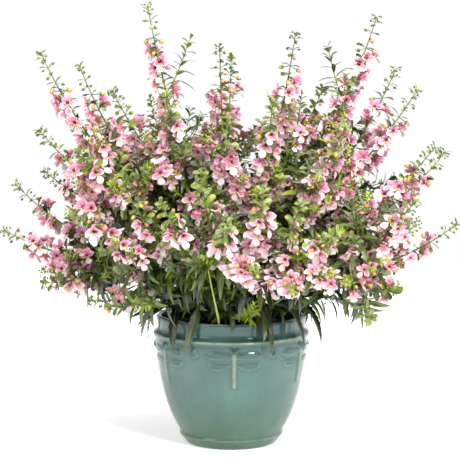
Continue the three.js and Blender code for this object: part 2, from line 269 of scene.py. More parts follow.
def shade(red, green, blue):
    """A colour as it is read off a screen, from 0 to 255, as the light values that a shader works with."""
    light = [(value / 255 + 0.055) / 1.055 for value in (red, green, blue)]
    return tuple(value**2.4 for value in light) + (1,)


print("a mid pink is", shade(235, 130, 175))

# %% [markdown]
# ## The ground
# The ground is a white light table, as for catalogue pictures: a pale, dull sheet that glows a little from below,
# so that the shadows on it stay faint. As with the surroundings, dull surfaces get less of that glow, which
# keeps the underside of the bush dark. The sheet is marked as part of the stage, so it isn't a piece of the plant.

# %% Ground
bpy.ops.object.select_all(action="DESELECT")
bpy.ops.mesh.primitive_plane_add(size=3.6, location=(0, 0, 0))
ground = bpy.context.object
ground.name = "ground"
sheet = Finish("white_sheet")
haze = sheet.noise(40)
tone = sheet.blend(haze, (0.93, 0.93, 0.93, 1), (0.96, 0.96, 0.96, 1))
dull = sheet.node("LightPath", output="Is Diffuse Ray")
glow = {"Emission Color": sheet.blend(dull, (1, 1, 1, 1), (0.2, 0.2, 0.2, 1)), "Emission Strength": 0.5}
ground.data.materials.append(sheet.shine(tone, 0.9, **glow))
ground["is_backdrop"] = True
print("ground:", tuple(ground.dimensions))

# %% [markdown]
# ## Turning the pot
# The pot was thrown on a wheel, so it is a profile turned round the middle. The profile is drawn point by point
# by pulling one vertex along, and then spun. The wall under the rib gets a row for each millimetre, because the
# dragonflies are raised out of it afterwards. The frieze repeats six times, and a spin of few steps is quick,
# so one sixth is spun with about a step to a millimetre, and its copies close the ring.

# %% Profile of the pot
FOOT = [(0, 0), (38, 0), (55.5, 0), (57.6, 0.7), (59.2, 2.4), (62.2, 6.6), (64.9, 10.2)]
FOOT += [(66, 11.8), (66, 13.2), (65.3, 14.6)]
RIB = [(97.3, 135.4), (98.2, 137.4), (98.7, 139), (98.6, 140.6), (97.8, 142), (96.2, 143.2), (94.6, 144.4)]
BAND = [(93.6, 146), (93.4, 149), (93.6, 153), (94, 157), (94.3, 160)]
RIM = [(94.1, 161.6), (93.3, 162.6), (92, 163), (90, 163), (88.9, 162.4)]
INSIDE = [(88.3, 161), (87.6, 152), (86, 133)]
BELLY = [(65, 16), (80, 38), (94, 80), (96.5, 133)]
BELLY_FOOT = 16
WALL = 8.5
FLOOR = [(54, 13.5), (49, 12), (30, 12), (0, 12)]
FRIEZE_FOOT, FRIEZE_TOP = 80, 137
DRAGONFLIES = 6
STEPS_PER_FLY = 100


def belly_radius(height):
    """Radius of the outside wall at a height, in mm."""
    low, high = 0.0, 1.0
    for _ in range(30):
        middle = (low + high) / 2
        if bezier_at(BELLY, middle)[1] < height:
            low = middle
        else:
            high = middle
    return bezier_at(BELLY, low)[0]


def bezier_at(corners, t):
    """The point of a cubic curve at t, for corners of any number of values."""
    weights = [(1 - t) ** 3, 3 * t * (1 - t) ** 2, 3 * t * t * (1 - t), t**3]
    return [sum(w * corner[i] for w, corner in zip(weights, corners)) for i in range(len(corners[0]))]


belly_heights = [*range(BELLY_FOOT, FRIEZE_FOOT, 6), *range(FRIEZE_FOOT, FRIEZE_TOP)]
outside = [(belly_radius(height), height) for height in belly_heights]
hollow = [(belly_radius(height) - WALL, height) for height in range(121, 20, -12)]
pot_profile = FOOT + outside + RIB + BAND + RIM + INSIDE + hollow + FLOOR
print("profile points:", len(pot_profile))


# %% Copying, joining and storing values
def copy_of(model, place):
    """A copy of model with its own mesh, moved to its place in the mesh itself."""
    twin = model.copy()
    twin.data = model.data.copy()
    twin.data.transform(place)
    bpy.context.scene.collection.objects.link(twin)
    return twin


def join_all(name, parts):
    """Joins parts into the first of them, names it and clears away the meshes that are left without an object."""
    bpy.ops.object.select_all(action="DESELECT")
    for part in parts:
        part.select_set(True)
    bpy.context.view_layer.objects.active = parts[0]
    spent = [part.data for part in parts[1:]]
    bpy.ops.object.join()
    bpy.data.batch_remove([mesh for mesh in spent if mesh.users == 0])
    parts[0].name = name
    return parts[0]


def store(piece, name, values):
    """Stores three values for each vertex of a piece under a name."""
    note = piece.data.attributes.new(name, "FLOAT_VECTOR", "POINT")
    note.data.foreach_set("vector", np.asarray(values, np.float32).ravel())


# %% Drawing and spinning a profile
def select_points(piece, rule):
    """Selects the vertices of piece for whose place rule says yes, and goes into edit mode."""
    if bpy.context.mode != "OBJECT":
        bpy.ops.object.mode_set(mode="OBJECT")
    mesh = piece.data
    for part in (mesh.polygons, mesh.edges):
        part.foreach_set("select", np.zeros(len(part), bool))
    for point in mesh.vertices:
        point.select = bool(rule(point.co))
    bpy.ops.object.mode_set(mode="EDIT")
    bpy.ops.mesh.select_mode(type="VERT")


def draw_line(name, points):
    """A line of edges: one vertex is pulled from point to point."""
    bpy.ops.object.select_all(action="DESELECT")
    bpy.ops.mesh.primitive_plane_add(size=1, location=(0, 0, 0))
    line = bpy.context.object
    line.name = name
    bpy.ops.object.mode_set(mode="EDIT")
    bpy.ops.mesh.select_all(action="SELECT")
    bpy.ops.mesh.merge(type="CENTER")
    bpy.ops.transform.translate(value=points[0])
    for start, end in zip(points, points[1:]):
        bpy.ops.mesh.extrude_region_move(TRANSFORM_OT_translate={"value": Vector(end) - Vector(start)})
    return line


def spin_pot(name, profile, shares, steps):
    """Turns a profile of (radius, height) in mm into a closed wall round the upright axis, in equal shares."""
    first = draw_line(name, [Vector((radius * MM, 0, height * MM)) for radius, height in profile])
    bpy.ops.mesh.select_all(action="SELECT")
    bpy.ops.mesh.spin(steps=steps, angle=math.tau / shares, center=(0, 0, 0), axis=(0, 0, 1))
    bpy.ops.object.mode_set(mode="OBJECT")
    turns = [Matrix.Rotation(math.tau * share / shares, 4, "Z") for share in range(1, shares)]
    pot = join_all(name, [first] + [copy_of(first, turn) for turn in turns])
    bpy.ops.object.mode_set(mode="EDIT")
    bpy.ops.mesh.select_all(action="SELECT")
    bpy.ops.mesh.remove_doubles(threshold=1e-5)
    bpy.ops.mesh.normals_make_consistent(inside=False)
    bpy.ops.object.mode_set(mode="OBJECT")
    return pot


pot = spin_pot("glazed_pot", pot_profile, DRAGONFLIES, STEPS_PER_FLY)
print("pot:", len(pot.data.polygons), "faces")

# %% [markdown]
# The floor of the pot has three plain drainage holes. Each is cut with a cylinder that stands in for a drill.


# %% Drainage holes
DRAIN_HOLES, DRAIN_RADIUS, DRAIN_RING = 3, 5, 26


def apply_modifier(piece, kind, **settings):
    """Adds a modifier with these settings and applies it."""
    bpy.ops.object.select_all(action="DESELECT")
    piece.select_set(True)
    bpy.context.view_layer.objects.active = piece
    modifier = piece.modifiers.new("step", kind)
    for name, value in settings.items():
        setattr(modifier, name, value)
    bpy.ops.object.modifier_apply(modifier="step")


bpy.ops.object.select_all(action="DESELECT")
for hole in range(DRAIN_HOLES):
    turn = math.tau * hole / DRAIN_HOLES
    spot = (DRAIN_RING * MM * math.cos(turn), DRAIN_RING * MM * math.sin(turn), 6 * MM)
    bpy.ops.mesh.primitive_cylinder_add(vertices=24, radius=DRAIN_RADIUS * MM, depth=30 * MM, location=spot)
    drill = bpy.context.object
    apply_modifier(pot, "BOOLEAN", operation="DIFFERENCE", object=drill, solver="FAST")
    bpy.data.objects.remove(drill)
print("pot with holes:", len(pot.data.polygons), "faces")

# %% [markdown]
# ## The frieze
# Six dragonflies with spread wings and a button between each two stand a few millimetres out of the wall. On
# a real pot they come from the mould, with soft edges. Here each vertex of the wall gets a height from the
# outlines below, and one Displace modifier raises them all. The glaze reads the same heights later: it runs
# thin and pale over the ridges, and pools dark beside them. The tops of the heads and buttons are painted dark
# too, as a painted reflection, since glaze doesn't pool on a dome.

# %% Outlines of a dragonfly, in mm from its middle line and from the ground
UPPER_WING = [(1, 120), (29, 119.2), (37, 124), (28, 130.2), (12, 128.8), (1, 127)]
LOWER_WING = [(1, 114.2), (11, 107), (22, 106), (31, 108), (33.5, 116.5)]
UPPER_RISE, LOWER_RISE = 1.2, 0.8
TAIL_FOOT, TAIL_TOP, TAIL_RISE = 86, 125, 2.4
HEAD_HEIGHT, HEAD_RADIUS, HEAD_RISE = 131, 4.6, 4.2
BUTTON_HEIGHT, BUTTON_RADIUS, BUTTON_RISE = 125.5, 5.2, 3.0
SHOULDER_RADIUS = 96.5
FRIEZE_TURN = math.radians(2)


def round_corners(outline, times=3):
    """Cuts the corners of a closed outline again and again, until it runs smoothly."""
    points = np.array(outline, float)
    for _ in range(times):
        after = np.roll(points, -1, axis=0)
        points = np.stack([0.82 * points + 0.18 * after, 0.18 * points + 0.82 * after], axis=1).reshape(-1, 2)
    return points


def depth_inside(spots, outline):
    """How far each spot lies inside a closed outline, less than 0 outside it."""
    starts = round_corners(outline)
    ends = np.roll(starts, -1, axis=0)
    nearest = np.full(len(spots), 1e9)
    inside = np.zeros(len(spots), bool)
    for start, end in zip(starts, ends):
        edge = end - start
        share = np.clip((spots - start) @ edge / (edge @ edge), 0, 1)
        nearest = np.minimum(nearest, np.linalg.norm(spots - start - share[:, None] * edge, axis=1))
        crossing = (start[1] > spots[:, 1]) != (end[1] > spots[:, 1])
        slope = edge[0] / edge[1] if edge[1] else 0.0
        inside ^= crossing & (spots[:, 0] < start[0] + (spots[:, 1] - start[1]) * slope)
    return np.where(inside, nearest, -nearest)


def soft_step(value, start, end):
    """0 up to start and 1 from end on, with a soft passage."""
    share = np.clip((value - start) / (end - start), 0, 1)
    return share * share * (3 - 2 * share)


def ridge(value, middle, width):
    """A smooth ridge of height 1 where value is at middle."""
    return np.exp(-(((value - middle) / width) ** 2))


# %% Heights of the frieze over the wall
places = np.array([point.co for point in pot.data.vertices]) / MM
radii = np.hypot(places[:, 0], places[:, 1])
on_wall = (places[:, 2] > FRIEZE_FOOT) & (places[:, 2] < FRIEZE_TOP) & (radii > 90)
pitch = math.tau * SHOULDER_RADIUS / DRAGONFLIES
along_wall = (np.arctan2(places[:, 0], -places[:, 1]) - FRIEZE_TURN) * SHOULDER_RADIUS
across_fly = np.abs((along_wall + pitch / 2) % pitch - pitch / 2)
spots = np.stack([across_fly, places[:, 2]], axis=1)[on_wall]

rise, cream, pool_and_painted_reflection = (np.zeros(len(spots)) for _ in range(3))
for wing, plump in ((UPPER_WING, UPPER_RISE), (LOWER_WING, LOWER_RISE)):
    depth = depth_inside(spots, wing)
    middle = np.mean([corner[1] for corner in wing])
    vein = ridge(spots[:, 1] - middle + 0.05 * spots[:, 0], 0, 1.1) * soft_step(depth, 1.5, 3)
    rise = np.maximum(rise, plump * np.clip((depth + 0.6) / 3, 0, 1) + 0.4 * ridge(depth, 2.2, 0.9) + 0.3 * vein)
    cream = np.maximum(cream, 0.6 * ridge(depth, 0.9, 0.9))
    pool_and_painted_reflection = np.maximum(pool_and_painted_reflection, 0.3 * ridge(depth, -1.8, 1.8) + 0.5 * soft_step(depth, 1.8, 3.5))

tail_radius = 2.6 + 0.6 * np.clip((spots[:, 1] - TAIL_FOOT) / 36, 0, 1)
beyond = np.maximum(np.maximum(TAIL_FOOT - spots[:, 1], spots[:, 1] - TAIL_TOP), 0)
from_tail = np.hypot(spots[:, 0], beyond) / tail_radius
rise = np.maximum(rise, TAIL_RISE * soft_step(1.3 - from_tail, 0, 0.9))
cream = np.maximum(cream, 0.7 * soft_step(1.1 - from_tail, 0, 0.5))
pool_and_painted_reflection = np.maximum(pool_and_painted_reflection, 0.3 * ridge(from_tail, 1.8, 0.5))

head = (0, HEAD_HEIGHT, HEAD_RADIUS, HEAD_RISE)
button = (pitch / 2, BUTTON_HEIGHT, BUTTON_RADIUS, BUTTON_RISE)
for side, height, radius, top in (head, button):
    away = np.hypot(spots[:, 0] - side, spots[:, 1] - height) / radius
    knob = np.minimum(top * np.sqrt(soft_step(1.08 - away, 0, 0.9)), 0.8 * top - 0.4 * (spots[:, 1] - height))
    rise = np.maximum(rise, knob)
    cream = np.maximum(cream, 0.6 * ridge(away, 0.9, 0.16))
    # Glaze pools in a ring round the foot of each knob; the dark on the knob's top is a painted reflection.
    pool_and_painted_reflection = np.maximum(pool_and_painted_reflection, 0.6 * ridge(away, 1.35, 0.3) + 0.7 * soft_step(0.75 - away, 0, 0.3))
print("raised vertices:", int((rise > 0.1).sum()), "highest", round(float(rise.max()), 2), "mm")

# %% Raising the frieze
TALLEST = 5.0
FOOT_CREST, RIB_CREST, RIM_CREST = 12.4, 140.3, 162.4
raised = pot.vertex_groups.new(name="frieze")
for index, height in zip(np.flatnonzero(on_wall), rise):
    if height > 0.01:
        raised.add([int(index)], float(height / TALLEST), "REPLACE")
apply_modifier(pot, "DISPLACE", strength=TALLEST * MM, mid_level=0, direction="NORMAL", vertex_group="frieze")

heights = places[:, 2]
story = np.zeros((len(places), 3))
story[on_wall, 0] = cream
# The second value is pooled glaze, with a painted reflection on the tops of the knobs.
story[on_wall, 1] = np.clip(pool_and_painted_reflection, 0, 1)
outer = radii > 91
story[:, 0] += outer * ridge(heights, RIB_CREST, 1.7)
story[:, 0] += outer * 0.8 * ridge(heights, RIM_CREST, 1.0) + (radii < 70) * 0.7 * ridge(heights, FOOT_CREST, 1.3)
story[:, 1] += outer * 0.8 * ridge(heights, 134.5, 2.2) + outer * 0.55 * soft_step(heights, 142.5, 145)
store(pot, "glaze_and_painted_reflection", story)
bpy.ops.object.shade_smooth_by_angle(angle=math.radians(50))
print("glaze runs thin on", int((story[:, 0] > 0.5).sum()), "vertices")

# %% [markdown]
# ## The glaze
# Celadon is a clear grey-green glaze whose colour grows deeper where it is thick. Fresh from the kiln it is
# glassy, with faint vertical runs and small clouds. So the colour starts from the height on the pot, is clouded
# by stretched noise, darkened where the frieze says the glaze pools, and turned to cream where it runs thin.
# The same dark is painted on the tops of the knobs, where it is a painted reflection.

# %% Celadon glaze
celadon = Finish("celadon_glaze")
# thick is the second value: pooled glaze, and a painted reflection on the tops of the knobs.
thin, thick, _ = celadon.attribute("glaze_and_painted_reflection")
place = celadon.node("TexCoord", output="Object")
level = celadon.node("SeparateXYZ", sockets={0: place}).out("Z")
clouds = celadon.noise(22, 4)
runs = celadon.noise(70, 3, (1, 1, 0.12))
broken = celadon.noise(150)
speckle = celadon.noise(900)
body = celadon.coats(
    shade(76, 107, 84),
    (celadon.fade(level, 0.0, 0.085), 75, 109, 102),
    (celadon.fade(level, 0.085, 0.15), 57, 90, 87),
    (celadon.fade(clouds, 0.35, 0.7) * 0.35, 97, 129, 120),
    (celadon.fade(runs, 0.45, 0.75) * 0.3, 70, 99, 87),
    # Pooled glaze, and the painted reflection on the tops of the knobs
    (thick * 0.7, 32, 70, 73),
    (celadon.fade(thin, 0.25, 0.95) * (0.1 + 1.1 * broken), 160, 172, 140),
    (celadon.fade(speckle, 0.66, 0.74) * 0.25, 74, 94, 74),
)
sheen = 0.07 + 0.1 * clouds + 0.05 * thin
wave = celadon.bump(celadon.noise(55), 0.12, 0.002)
pot.data.materials.clear()
pot.data.materials.append(celadon.shine(body, sheen, wave, IOR=1.5))
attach(pot, "root")
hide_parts("planter")
print("finish:", pot.data.materials[0].name)

# %% [markdown]
# ## The potting mix
# The mix is a dark, loose blend of peat and fine bark, heaped a little in the middle. It is a plug that fills
# the pot: a disc is pulled up along the inside of the wall ring by ring and drawn in to a low dome, whose faces are
# divided and whose vertices are shaken. Bits of bark and white perlite lie on it.

# %% Plug of mix
draws = random.Random(7)
bpy.ops.object.select_all(action="DESELECT")
bpy.ops.mesh.primitive_circle_add(vertices=72, radius=47 * MM, fill_type="NGON", location=(0, 0, 0))
mix = bpy.context.object
mix.name = "peat_and_bark"
bpy.ops.object.mode_set(mode="EDIT")
bpy.ops.mesh.select_all(action="SELECT")
bpy.ops.transform.translate(value=(0, 0, 13 * MM))
rings = [(53, 16)] + [(belly_radius(height) - WALL - 1, height) for height in range(28, 130, 20)]
rings += [(85, 133), (85.3, 141), (85, 146.5), (83.5, 148.3), (74, 149.3), (62, 150.5), (50, 151.5)]
rings += [(38, 152.2), (26, 152.7), (13, 153)]
past = (47, 13)
for ring in rings:
    growth = ring[0] / past[0]
    bpy.ops.mesh.extrude_region_move(TRANSFORM_OT_translate={"value": (0, 0, (ring[1] - past[1]) * MM)})
    bpy.ops.transform.resize(value=(growth, growth, 1), center_override=(0, 0, 0))
    past = ring
bpy.ops.mesh.poke()
select_points(mix, lambda place: place.z > 148.5 * MM)
bpy.ops.mesh.subdivide(number_cuts=2)
bpy.ops.transform.vertex_random(offset=1.3 * MM, seed=5)
bpy.ops.mesh.select_all(action="SELECT")
bpy.ops.mesh.normals_make_consistent(inside=False)
bpy.ops.object.mode_set(mode="OBJECT")
print("mix:", len(mix.data.polygons), "faces")

# %% Bark and perlite bits
bpy.ops.object.select_all(action="DESELECT")
bpy.ops.mesh.primitive_cube_add(size=1, location=(0, 0, 0), scale=(7 * MM, 3.5 * MM, 1.8 * MM))
chip = bpy.context.object
chip.name = "bark_chip"
bpy.ops.object.transform_apply(scale=True)
bpy.ops.object.mode_set(mode="EDIT")
bpy.ops.mesh.bevel(offset=0.6 * MM, segments=1)
bpy.ops.transform.vertex_random(offset=0.5 * MM, seed=2)
bpy.ops.object.mode_set(mode="OBJECT")
bpy.ops.mesh.primitive_ico_sphere_add(subdivisions=1, radius=1.6 * MM, location=(0, 0, 0))
perlite = bpy.context.object
perlite.name = "perlite_grain"
bpy.ops.object.mode_set(mode="EDIT")
bpy.ops.transform.vertex_random(offset=0.5 * MM, seed=3)
bpy.ops.object.mode_set(mode="OBJECT")
print("bark chip:", len(chip.data.polygons), "faces; perlite grain:", len(perlite.data.polygons), "faces")


# %% Height of the mix
def dome(radius):
    """Height of the mix at a distance from the middle, in mm."""
    return 153 - 4.4 * (radius / 84) ** 2


# %% Scattering the bits
peat = Finish("dark_peat")
grain = peat.noise(420, 3)
clod = peat.noise(90)
earth = peat.coats(
    shade(22, 17, 13),
    (peat.fade(grain, 0.35, 0.65), 58, 44, 32),
    (peat.fade(clod, 0.5, 0.7) * 0.5, 16, 13, 10),
)
mix.data.materials.append(peat.shine(earth, 0.75 + 0.2 * grain, peat.bump(grain, 0.9, 0.002)))

bark = Finish("pine_bark")
layers = bark.noise(260, 3, (1, 1, 4))
rind = bark.coats(shade(52, 34, 22), (bark.fade(layers, 0.3, 0.7), 122, 86, 56))
chip.data.materials.append(bark.shine(rind, 0.6 + 0.25 * layers, bark.bump(layers, 0.6, 0.001)))

white_grain = Finish("perlite")
pores = white_grain.noise(1500)
chalk = white_grain.coats(shade(228, 224, 214), (white_grain.fade(pores, 0.4, 0.7), 170, 164, 150))
perlite.data.materials.append(white_grain.shine(chalk, 0.85 + 0.1 * pores))

BITS = 170
bits = []
for number in range(BITS):
    model = perlite if number % 5 == 0 else chip
    radius, turn = 80 * math.sqrt(draws.random()), draws.uniform(0, math.tau)
    spot = Vector((radius * math.cos(turn), radius * math.sin(turn), dome(radius) + 0.8)) * MM
    tip_over = Matrix.Rotation(draws.uniform(-0.5, 0.5), 4, "X") @ Matrix.Rotation(draws.uniform(-0.4, 0.4), 4, "Y")
    size = Matrix.Scale(draws.uniform(0.6, 1.3), 4)
    spun = Matrix.Rotation(draws.uniform(0, math.tau), 4, "Z")
    bits.append(copy_of(model, Matrix.Translation(spot) @ spun @ tip_over @ size))
join_all("peat_and_bark", [mix] + bits)
for model in (chip, perlite):
    bpy.data.objects.remove(model)
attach(mix, "root")
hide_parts("potting_mix")
print("mix with bits:", len(mix.data.polygons), "faces")

# %% [markdown]
# ## Where the plant grows
# A shoot has a leading stem from the crown to its tip and two or three branches, and the upper part of each is
# a flower spike. The solids were made from the tips below, by a curve that leaves its foot, leans out and turns
# up at the tip. The same curves are drawn again here, so that a finished stem runs inside the one it stands for.

# %% Tips of the stems, leader first, in mm
SHOOT_TIPS = [
    [(280, -30, 280), (220, -110, 315), (200, -110, 210)],
    [(180, -10, 535), (135, -120, 405), (160, 130, 455)],
    [(80, 0, 515), (50, -95, 435), (120, 100, 445)],
    [(275, 50, 365), (250, -40, 375)],
    [(210, 50, 470), (230, -20, 445)],
    [(80, 180, 415), (185, 180, 305), (45, 230, 275)],
    [(-15, 60, 500), (-5, -110, 415), (0, 130, 485)],
    [(-110, 175, 430), (-195, 185, 305)],
    [(-195, 60, 475), (-240, 50, 340), (-175, 160, 400)],
    [(-105, 20, 550), (-145, -50, 445), (-80, -80, 440)],
    [(-275, 30, 325), (-285, -10, 270), (-230, -60, 210)],
    [(-235, -20, 490), (-235, -40, 395), (-180, -115, 375)],
    [(-125, -165, 340), (-170, -105, 195), (-185, -130, 300)],
    [(-35, -185, 355), (-80, -205, 320), (-5, -225, 300)],
    [(80, -190, 320), (35, -205, 335), (120, -195, 285)],
]
ROOT_SHARE, ROOT_HEIGHT = 0.15, 131
SPIKE_LENGTH, SPIKE_MOST = 150, 0.55


class Stem:
    """A smooth stem that starts at its foot in a direction and ends at its tip."""

    def __init__(self, foot, start, tip):
        reach = (tip - foot).length
        end = ((tip - foot).normalized() + 0.22 * UP).normalized()
        self.points = interpolate_bezier(foot, foot + 0.24 * reach * start, tip - 0.38 * reach * end, tip, 201)
        steps = [(after - before).length for before, after in zip(self.points, self.points[1:])]
        self.marks = np.concatenate([[0], np.cumsum(steps)])
        self.length = float(self.marks[-1])
        self.spike_length = min(SPIKE_LENGTH * MM, SPIKE_MOST * self.length)
        self.spike_start = 1 - self.spike_length / self.length

    def at(self, share):
        """The point at a share of the length."""
        wanted = min(max(share, 0), 1) * self.length
        index = min(int(np.searchsorted(self.marks, wanted, side="right")) - 1, len(self.points) - 2)
        part = (wanted - self.marks[index]) / (self.marks[index + 1] - self.marks[index])
        return self.points[index].lerp(self.points[index + 1], float(part))

    def heading(self, share):
        """The direction of the stem at a share of its length."""
        return (self.at(share + 0.004) - self.at(share - 0.004)).normalized()


# %% The stems of each shoot
shoots = []
for tips in SHOOT_TIPS:
    tips = [Vector(tip) * MM for tip in tips]
    leader = Stem(Vector((ROOT_SHARE * tips[0].x, ROOT_SHARE * tips[0].y, ROOT_HEIGHT * MM)), UP, tips[0])
    stems = [leader]
    for rank, tip in enumerate(tips[1:], 1):
        fork = 0.16 + 0.12 * rank
        foot = leader.at(fork)
        start = leader.heading(fork) + 0.6 * (tip - foot).normalized()
        stems.append(Stem(foot, start.normalized(), tip))
    shoots.append(stems)
lengths = [stem.length for stems in shoots for stem in stems]
print("stems:", len(lengths), "the longest", round(max(lengths), 3), "m")

# %% [markdown]
# Leaves and flowers grow from a stem at an angle round it, counted from its underside, and rise a little along
# it. In the solids each was turned about its stem until it was clear of the others. To find that turn again,
# the nine turns are tried in the same order until the solid has a vertex where the tip of the organ would be.

# %% Places on a stem
TURNS = (0, 0.3, -0.3, 0.6, -0.6, 0.9, -0.9, 1.2, -1.2)
solid_points = {}
for name, node in frame["nodes"].items():
    solid_points[name] = np.array([point.co for point in node.data.vertices])


def standing(point, along, upper):
    """The place at a point whose +Z runs along a direction and whose +Y is turned towards upper."""
    across = upper.cross(along).normalized()
    place = Matrix((across, along.cross(across), along)).transposed().to_4x4()
    place.translation = point
    return place


def growing(point, tangent, angle, rise):
    """Where an organ grows along its own +Z from a stem, with its upper side, +Y, towards the tip of the stem."""
    side = UP.cross(tangent).normalized()
    out = side.cross(tangent) * math.cos(angle) + side * math.sin(angle)
    return standing(point, (out + tangent * rise).normalized(), tangent)


def on_stem(stem, share, angle, rise):
    """A place on the smooth stem."""
    return growing(stem.at(share), stem.heading(share), angle, rise)


def solid_place(node, stem, low, high, steps, share, angle, rise, tip):
    """The place of an organ of a CAD node, whose stems are straight steps, or None if the node has none there."""
    span = min(int(share * steps), steps - 1)
    start, end = (stem.at(low + (high - low) * (span + more) / steps) for more in (0, 1))
    point = start.lerp(end, share * steps - span)
    for turn in TURNS:
        place = growing(point, (end - start).normalized(), angle + turn, rise)
        if np.linalg.norm(solid_points[node] - np.array(place @ tip), axis=1).min() < 0.8 * MM:
            return place
    return None


# %% [markdown]
# ## Finishes of the plant
# The leaves are glossy and dark, with a pale midrib and faint side veins, and the young ones are yellow-green.
# The flowers are pink above and nearly white on the lowest lobe, with a plum throat. Each leaf and petal carries
# where it lies across and along itself, and a chance of its own, so that no two have quite the same colour.

# %% Stem finish
sap = Finish("green_stem")
grown = sap.value("youth")
ribs = sap.noise(160, stretch=(1, 1, 0.3))
skin = sap.coats(shade(56, 70, 28), (sap.fade(ribs, 0.35, 0.65), 88, 100, 42), (grown, 176, 200, 66))
stem_green = sap.shine(skin, 0.4 + 0.2 * ribs)

# %% Leaf finish
blade = Finish("glossy_leaf")
across, along, chance = blade.attribute("blade")
young = blade.value("youth")
side = abs(across)
midrib = 1 - blade.fade(side, 0.04, 0.2)
veins = (along * 95 - side * 16).sine() * 0.5 + 0.5
patches = blade.noise(70)
fresh = chance * (0.12 + 0.88 * blade.fade(young, -0.5, 0.05))
green = blade.coats(shade(10, 24, 10), (fresh, 108, 134, 40), (blade.fade(patches, 0.4, 0.7) * 0.35, 30, 62, 36))
green = blade.blend(young, green, blade.coats(shade(168, 196, 36), (chance, 218, 230, 86)))
green = blade.coats(green, (veins * (1 - midrib) * 0.22, 24, 38, 16), (midrib * (0.25 + 0.4 * fresh), 138, 154, 98))
quilt = blade.bump(veins * 0.4 - midrib, 0.35, 0.0006)
leaf_green = blade.shine(green, 0.17 + 0.16 * patches + 0.08 * chance, quilt, IOR=1.65)

# %% Petal finish
satin = Finish("pink_petal")
across, along, chance = satin.attribute("blade")
kind = satin.value("lobe")
fresh = satin.value("youth")
lower = 1 - satin.fade(kind, 0.1, 0.4)
upper = satin.fade(kind, 0.6, 0.9)
crinkle = satin.noise(600)
rim = satin.node("Math", {"operation": "MAXIMUM"}, {0: abs(across) * 0.96, 1: along})
edge = satin.fade(rim + 0.5 * crinkle - 0.25, 0.5, 0.95)
streaks = satin.fade((across * 11).sine(), 0, 1) * (1 - satin.fade(along, 0.2, 0.7))
pink = satin.coats(
    shade(240, 128, 174),
    (chance, 250, 182, 208),
    ((1 - fresh) * 0.45, 246, 206, 220),
    ((1 - satin.fade(along, 0.0, 0.45)) * 0.5, 176, 62, 108),
    (edge * (0.9 - 0.55 * upper), 255, 244, 242),
)
pale = satin.coats(
    shade(244, 234, 228),
    ((1 - satin.fade(along, 0.45, 0.8)) * (0.1 + 0.3 * chance), 230, 168, 180),
    ((1 - satin.fade(along, 0.16, 0.36)) * 0.9, 206, 194, 58),
)
petal = satin.coats(satin.blend(lower, pink, pale), (streaks * (0.3 + 0.4 * upper), 178, 66, 118))
petal_pink = satin.shine(petal, 0.5 + 0.15 * crinkle, satin.bump(crinkle, 0.6, 0.0014))

# %% Throat and bud finishes
throat = Finish("plum_throat")
across, along, _ = throat.attribute("blade")
deep = throat.coats(
    shade(120, 40, 78),
    (throat.fade(along, 0.25, 0.85), 206, 104, 148),
    (throat.fade(across, 0.35, 0.8) * throat.fade(along, 0.4, 0.8), 206, 206, 84),
)
mottle = throat.noise(900)
throat_plum = throat.shine(deep, 0.45 + 0.15 * mottle)

bud_skin = Finish("ripening_bud")
_, along, chance = bud_skin.attribute("blade")
unripe = bud_skin.value("youth")
petal_tip = bud_skin.coats(shade(222, 196, 84), (chance, 228, 140, 128))
ripe = bud_skin.blend(bud_skin.fade(along, 0.25, 0.6), shade(128, 146, 42), petal_tip)
hard = bud_skin.coats(shade(70, 90, 30), (chance, 122, 144, 46))
mottle = bud_skin.noise(500)
coat = bud_skin.coats(bud_skin.blend(unripe, ripe, hard), (mottle * 0.25, 96, 104, 48))
bud_green = bud_skin.shine(coat, 0.38 + 0.16 * mottle)
print("plant finishes:", [m.name for m in (stem_green, leaf_green, petal_pink, throat_plum, bud_green)])

# %% [markdown]
# ## Round stems
# All stems are copies of two straight rods, one of few steps and one of many. A rod is a cylinder that is cut
# across at even heights. Its rings are then set square on the curve one after the other, each turned as little
# as it can be from the last, so that no stem is twisted.


# %% Straight rods
ROD_SIDES = 6


def model_rod(name, steps):
    """A straight rod of radius 1 from the origin to 1 on Z."""
    bpy.ops.object.select_all(action="DESELECT")
    bpy.ops.mesh.primitive_cylinder_add(vertices=ROD_SIDES, radius=1, depth=1, location=(0, 0, 0.5))
    rod = bpy.context.object
    rod.name = name
    bpy.ops.object.transform_apply(location=True)
    bpy.ops.object.mode_set(mode="EDIT")
    for step in range(1, steps):
        bpy.ops.mesh.select_all(action="SELECT")
        bpy.ops.mesh.bisect(plane_co=(0, 0, step / steps), plane_no=(0, 0, 1))
    bpy.ops.object.mode_set(mode="OBJECT")
    bpy.ops.object.shade_smooth()
    rod.data.attributes.new("blade", "FLOAT_VECTOR", "POINT")
    rod.data.materials.append(stem_green)
    return rod


twig_rod = model_rod("twig_rod", 5)
stem_rod = model_rod("stem_rod", 14)
print("rods:", len(twig_rod.data.polygons), "and", len(stem_rod.data.polygons), "faces")


# %% A rod along a stem
def rod_along(model, stem, low, high, thick, thin, youth):
    """A copy of a straight rod, bent along a part of a stem, that tapers between two radii in mm."""
    rod = copy_of(model, Matrix())
    steps = len(rod.data.vertices) // ROD_SIDES - 1
    side = stem.heading(low).orthogonal()
    rings = []
    for step in range(steps + 1):
        share = low + (high - low) * step / steps
        tangent = stem.heading(share)
        side = (side - tangent * side.dot(tangent)).normalized()
        rings.append((stem.at(share), side, tangent.cross(side)))
    for point in rod.data.vertices:
        x, y, part = point.co
        middle, first, second = rings[round(part * steps)]
        point.co = middle + (first * x + second * y) * (thick + (thin - thick) * part) * MM
    return mark(rod, youth=youth)


def mark(piece, **values):
    """Stores one value for the whole of a piece under each name."""
    for name, value in values.items():
        note = piece.data.attributes.get(name) or piece.data.attributes.new(name, "FLOAT", "POINT")
        note.data.foreach_set("value", np.full(len(piece.data.vertices), value, np.float32))
    return piece


# %% [markdown]
# ## Modelling a leaf
# A leaf is a narrow blade folded along its midrib, with a row of forward-pointing teeth down each edge. It is
# pulled out of a short line of three vertices, row by row, and each new row is made wider or narrower. At the
# end the whole blade is bent in one go. The same way of working gives the small bracts and the petals.


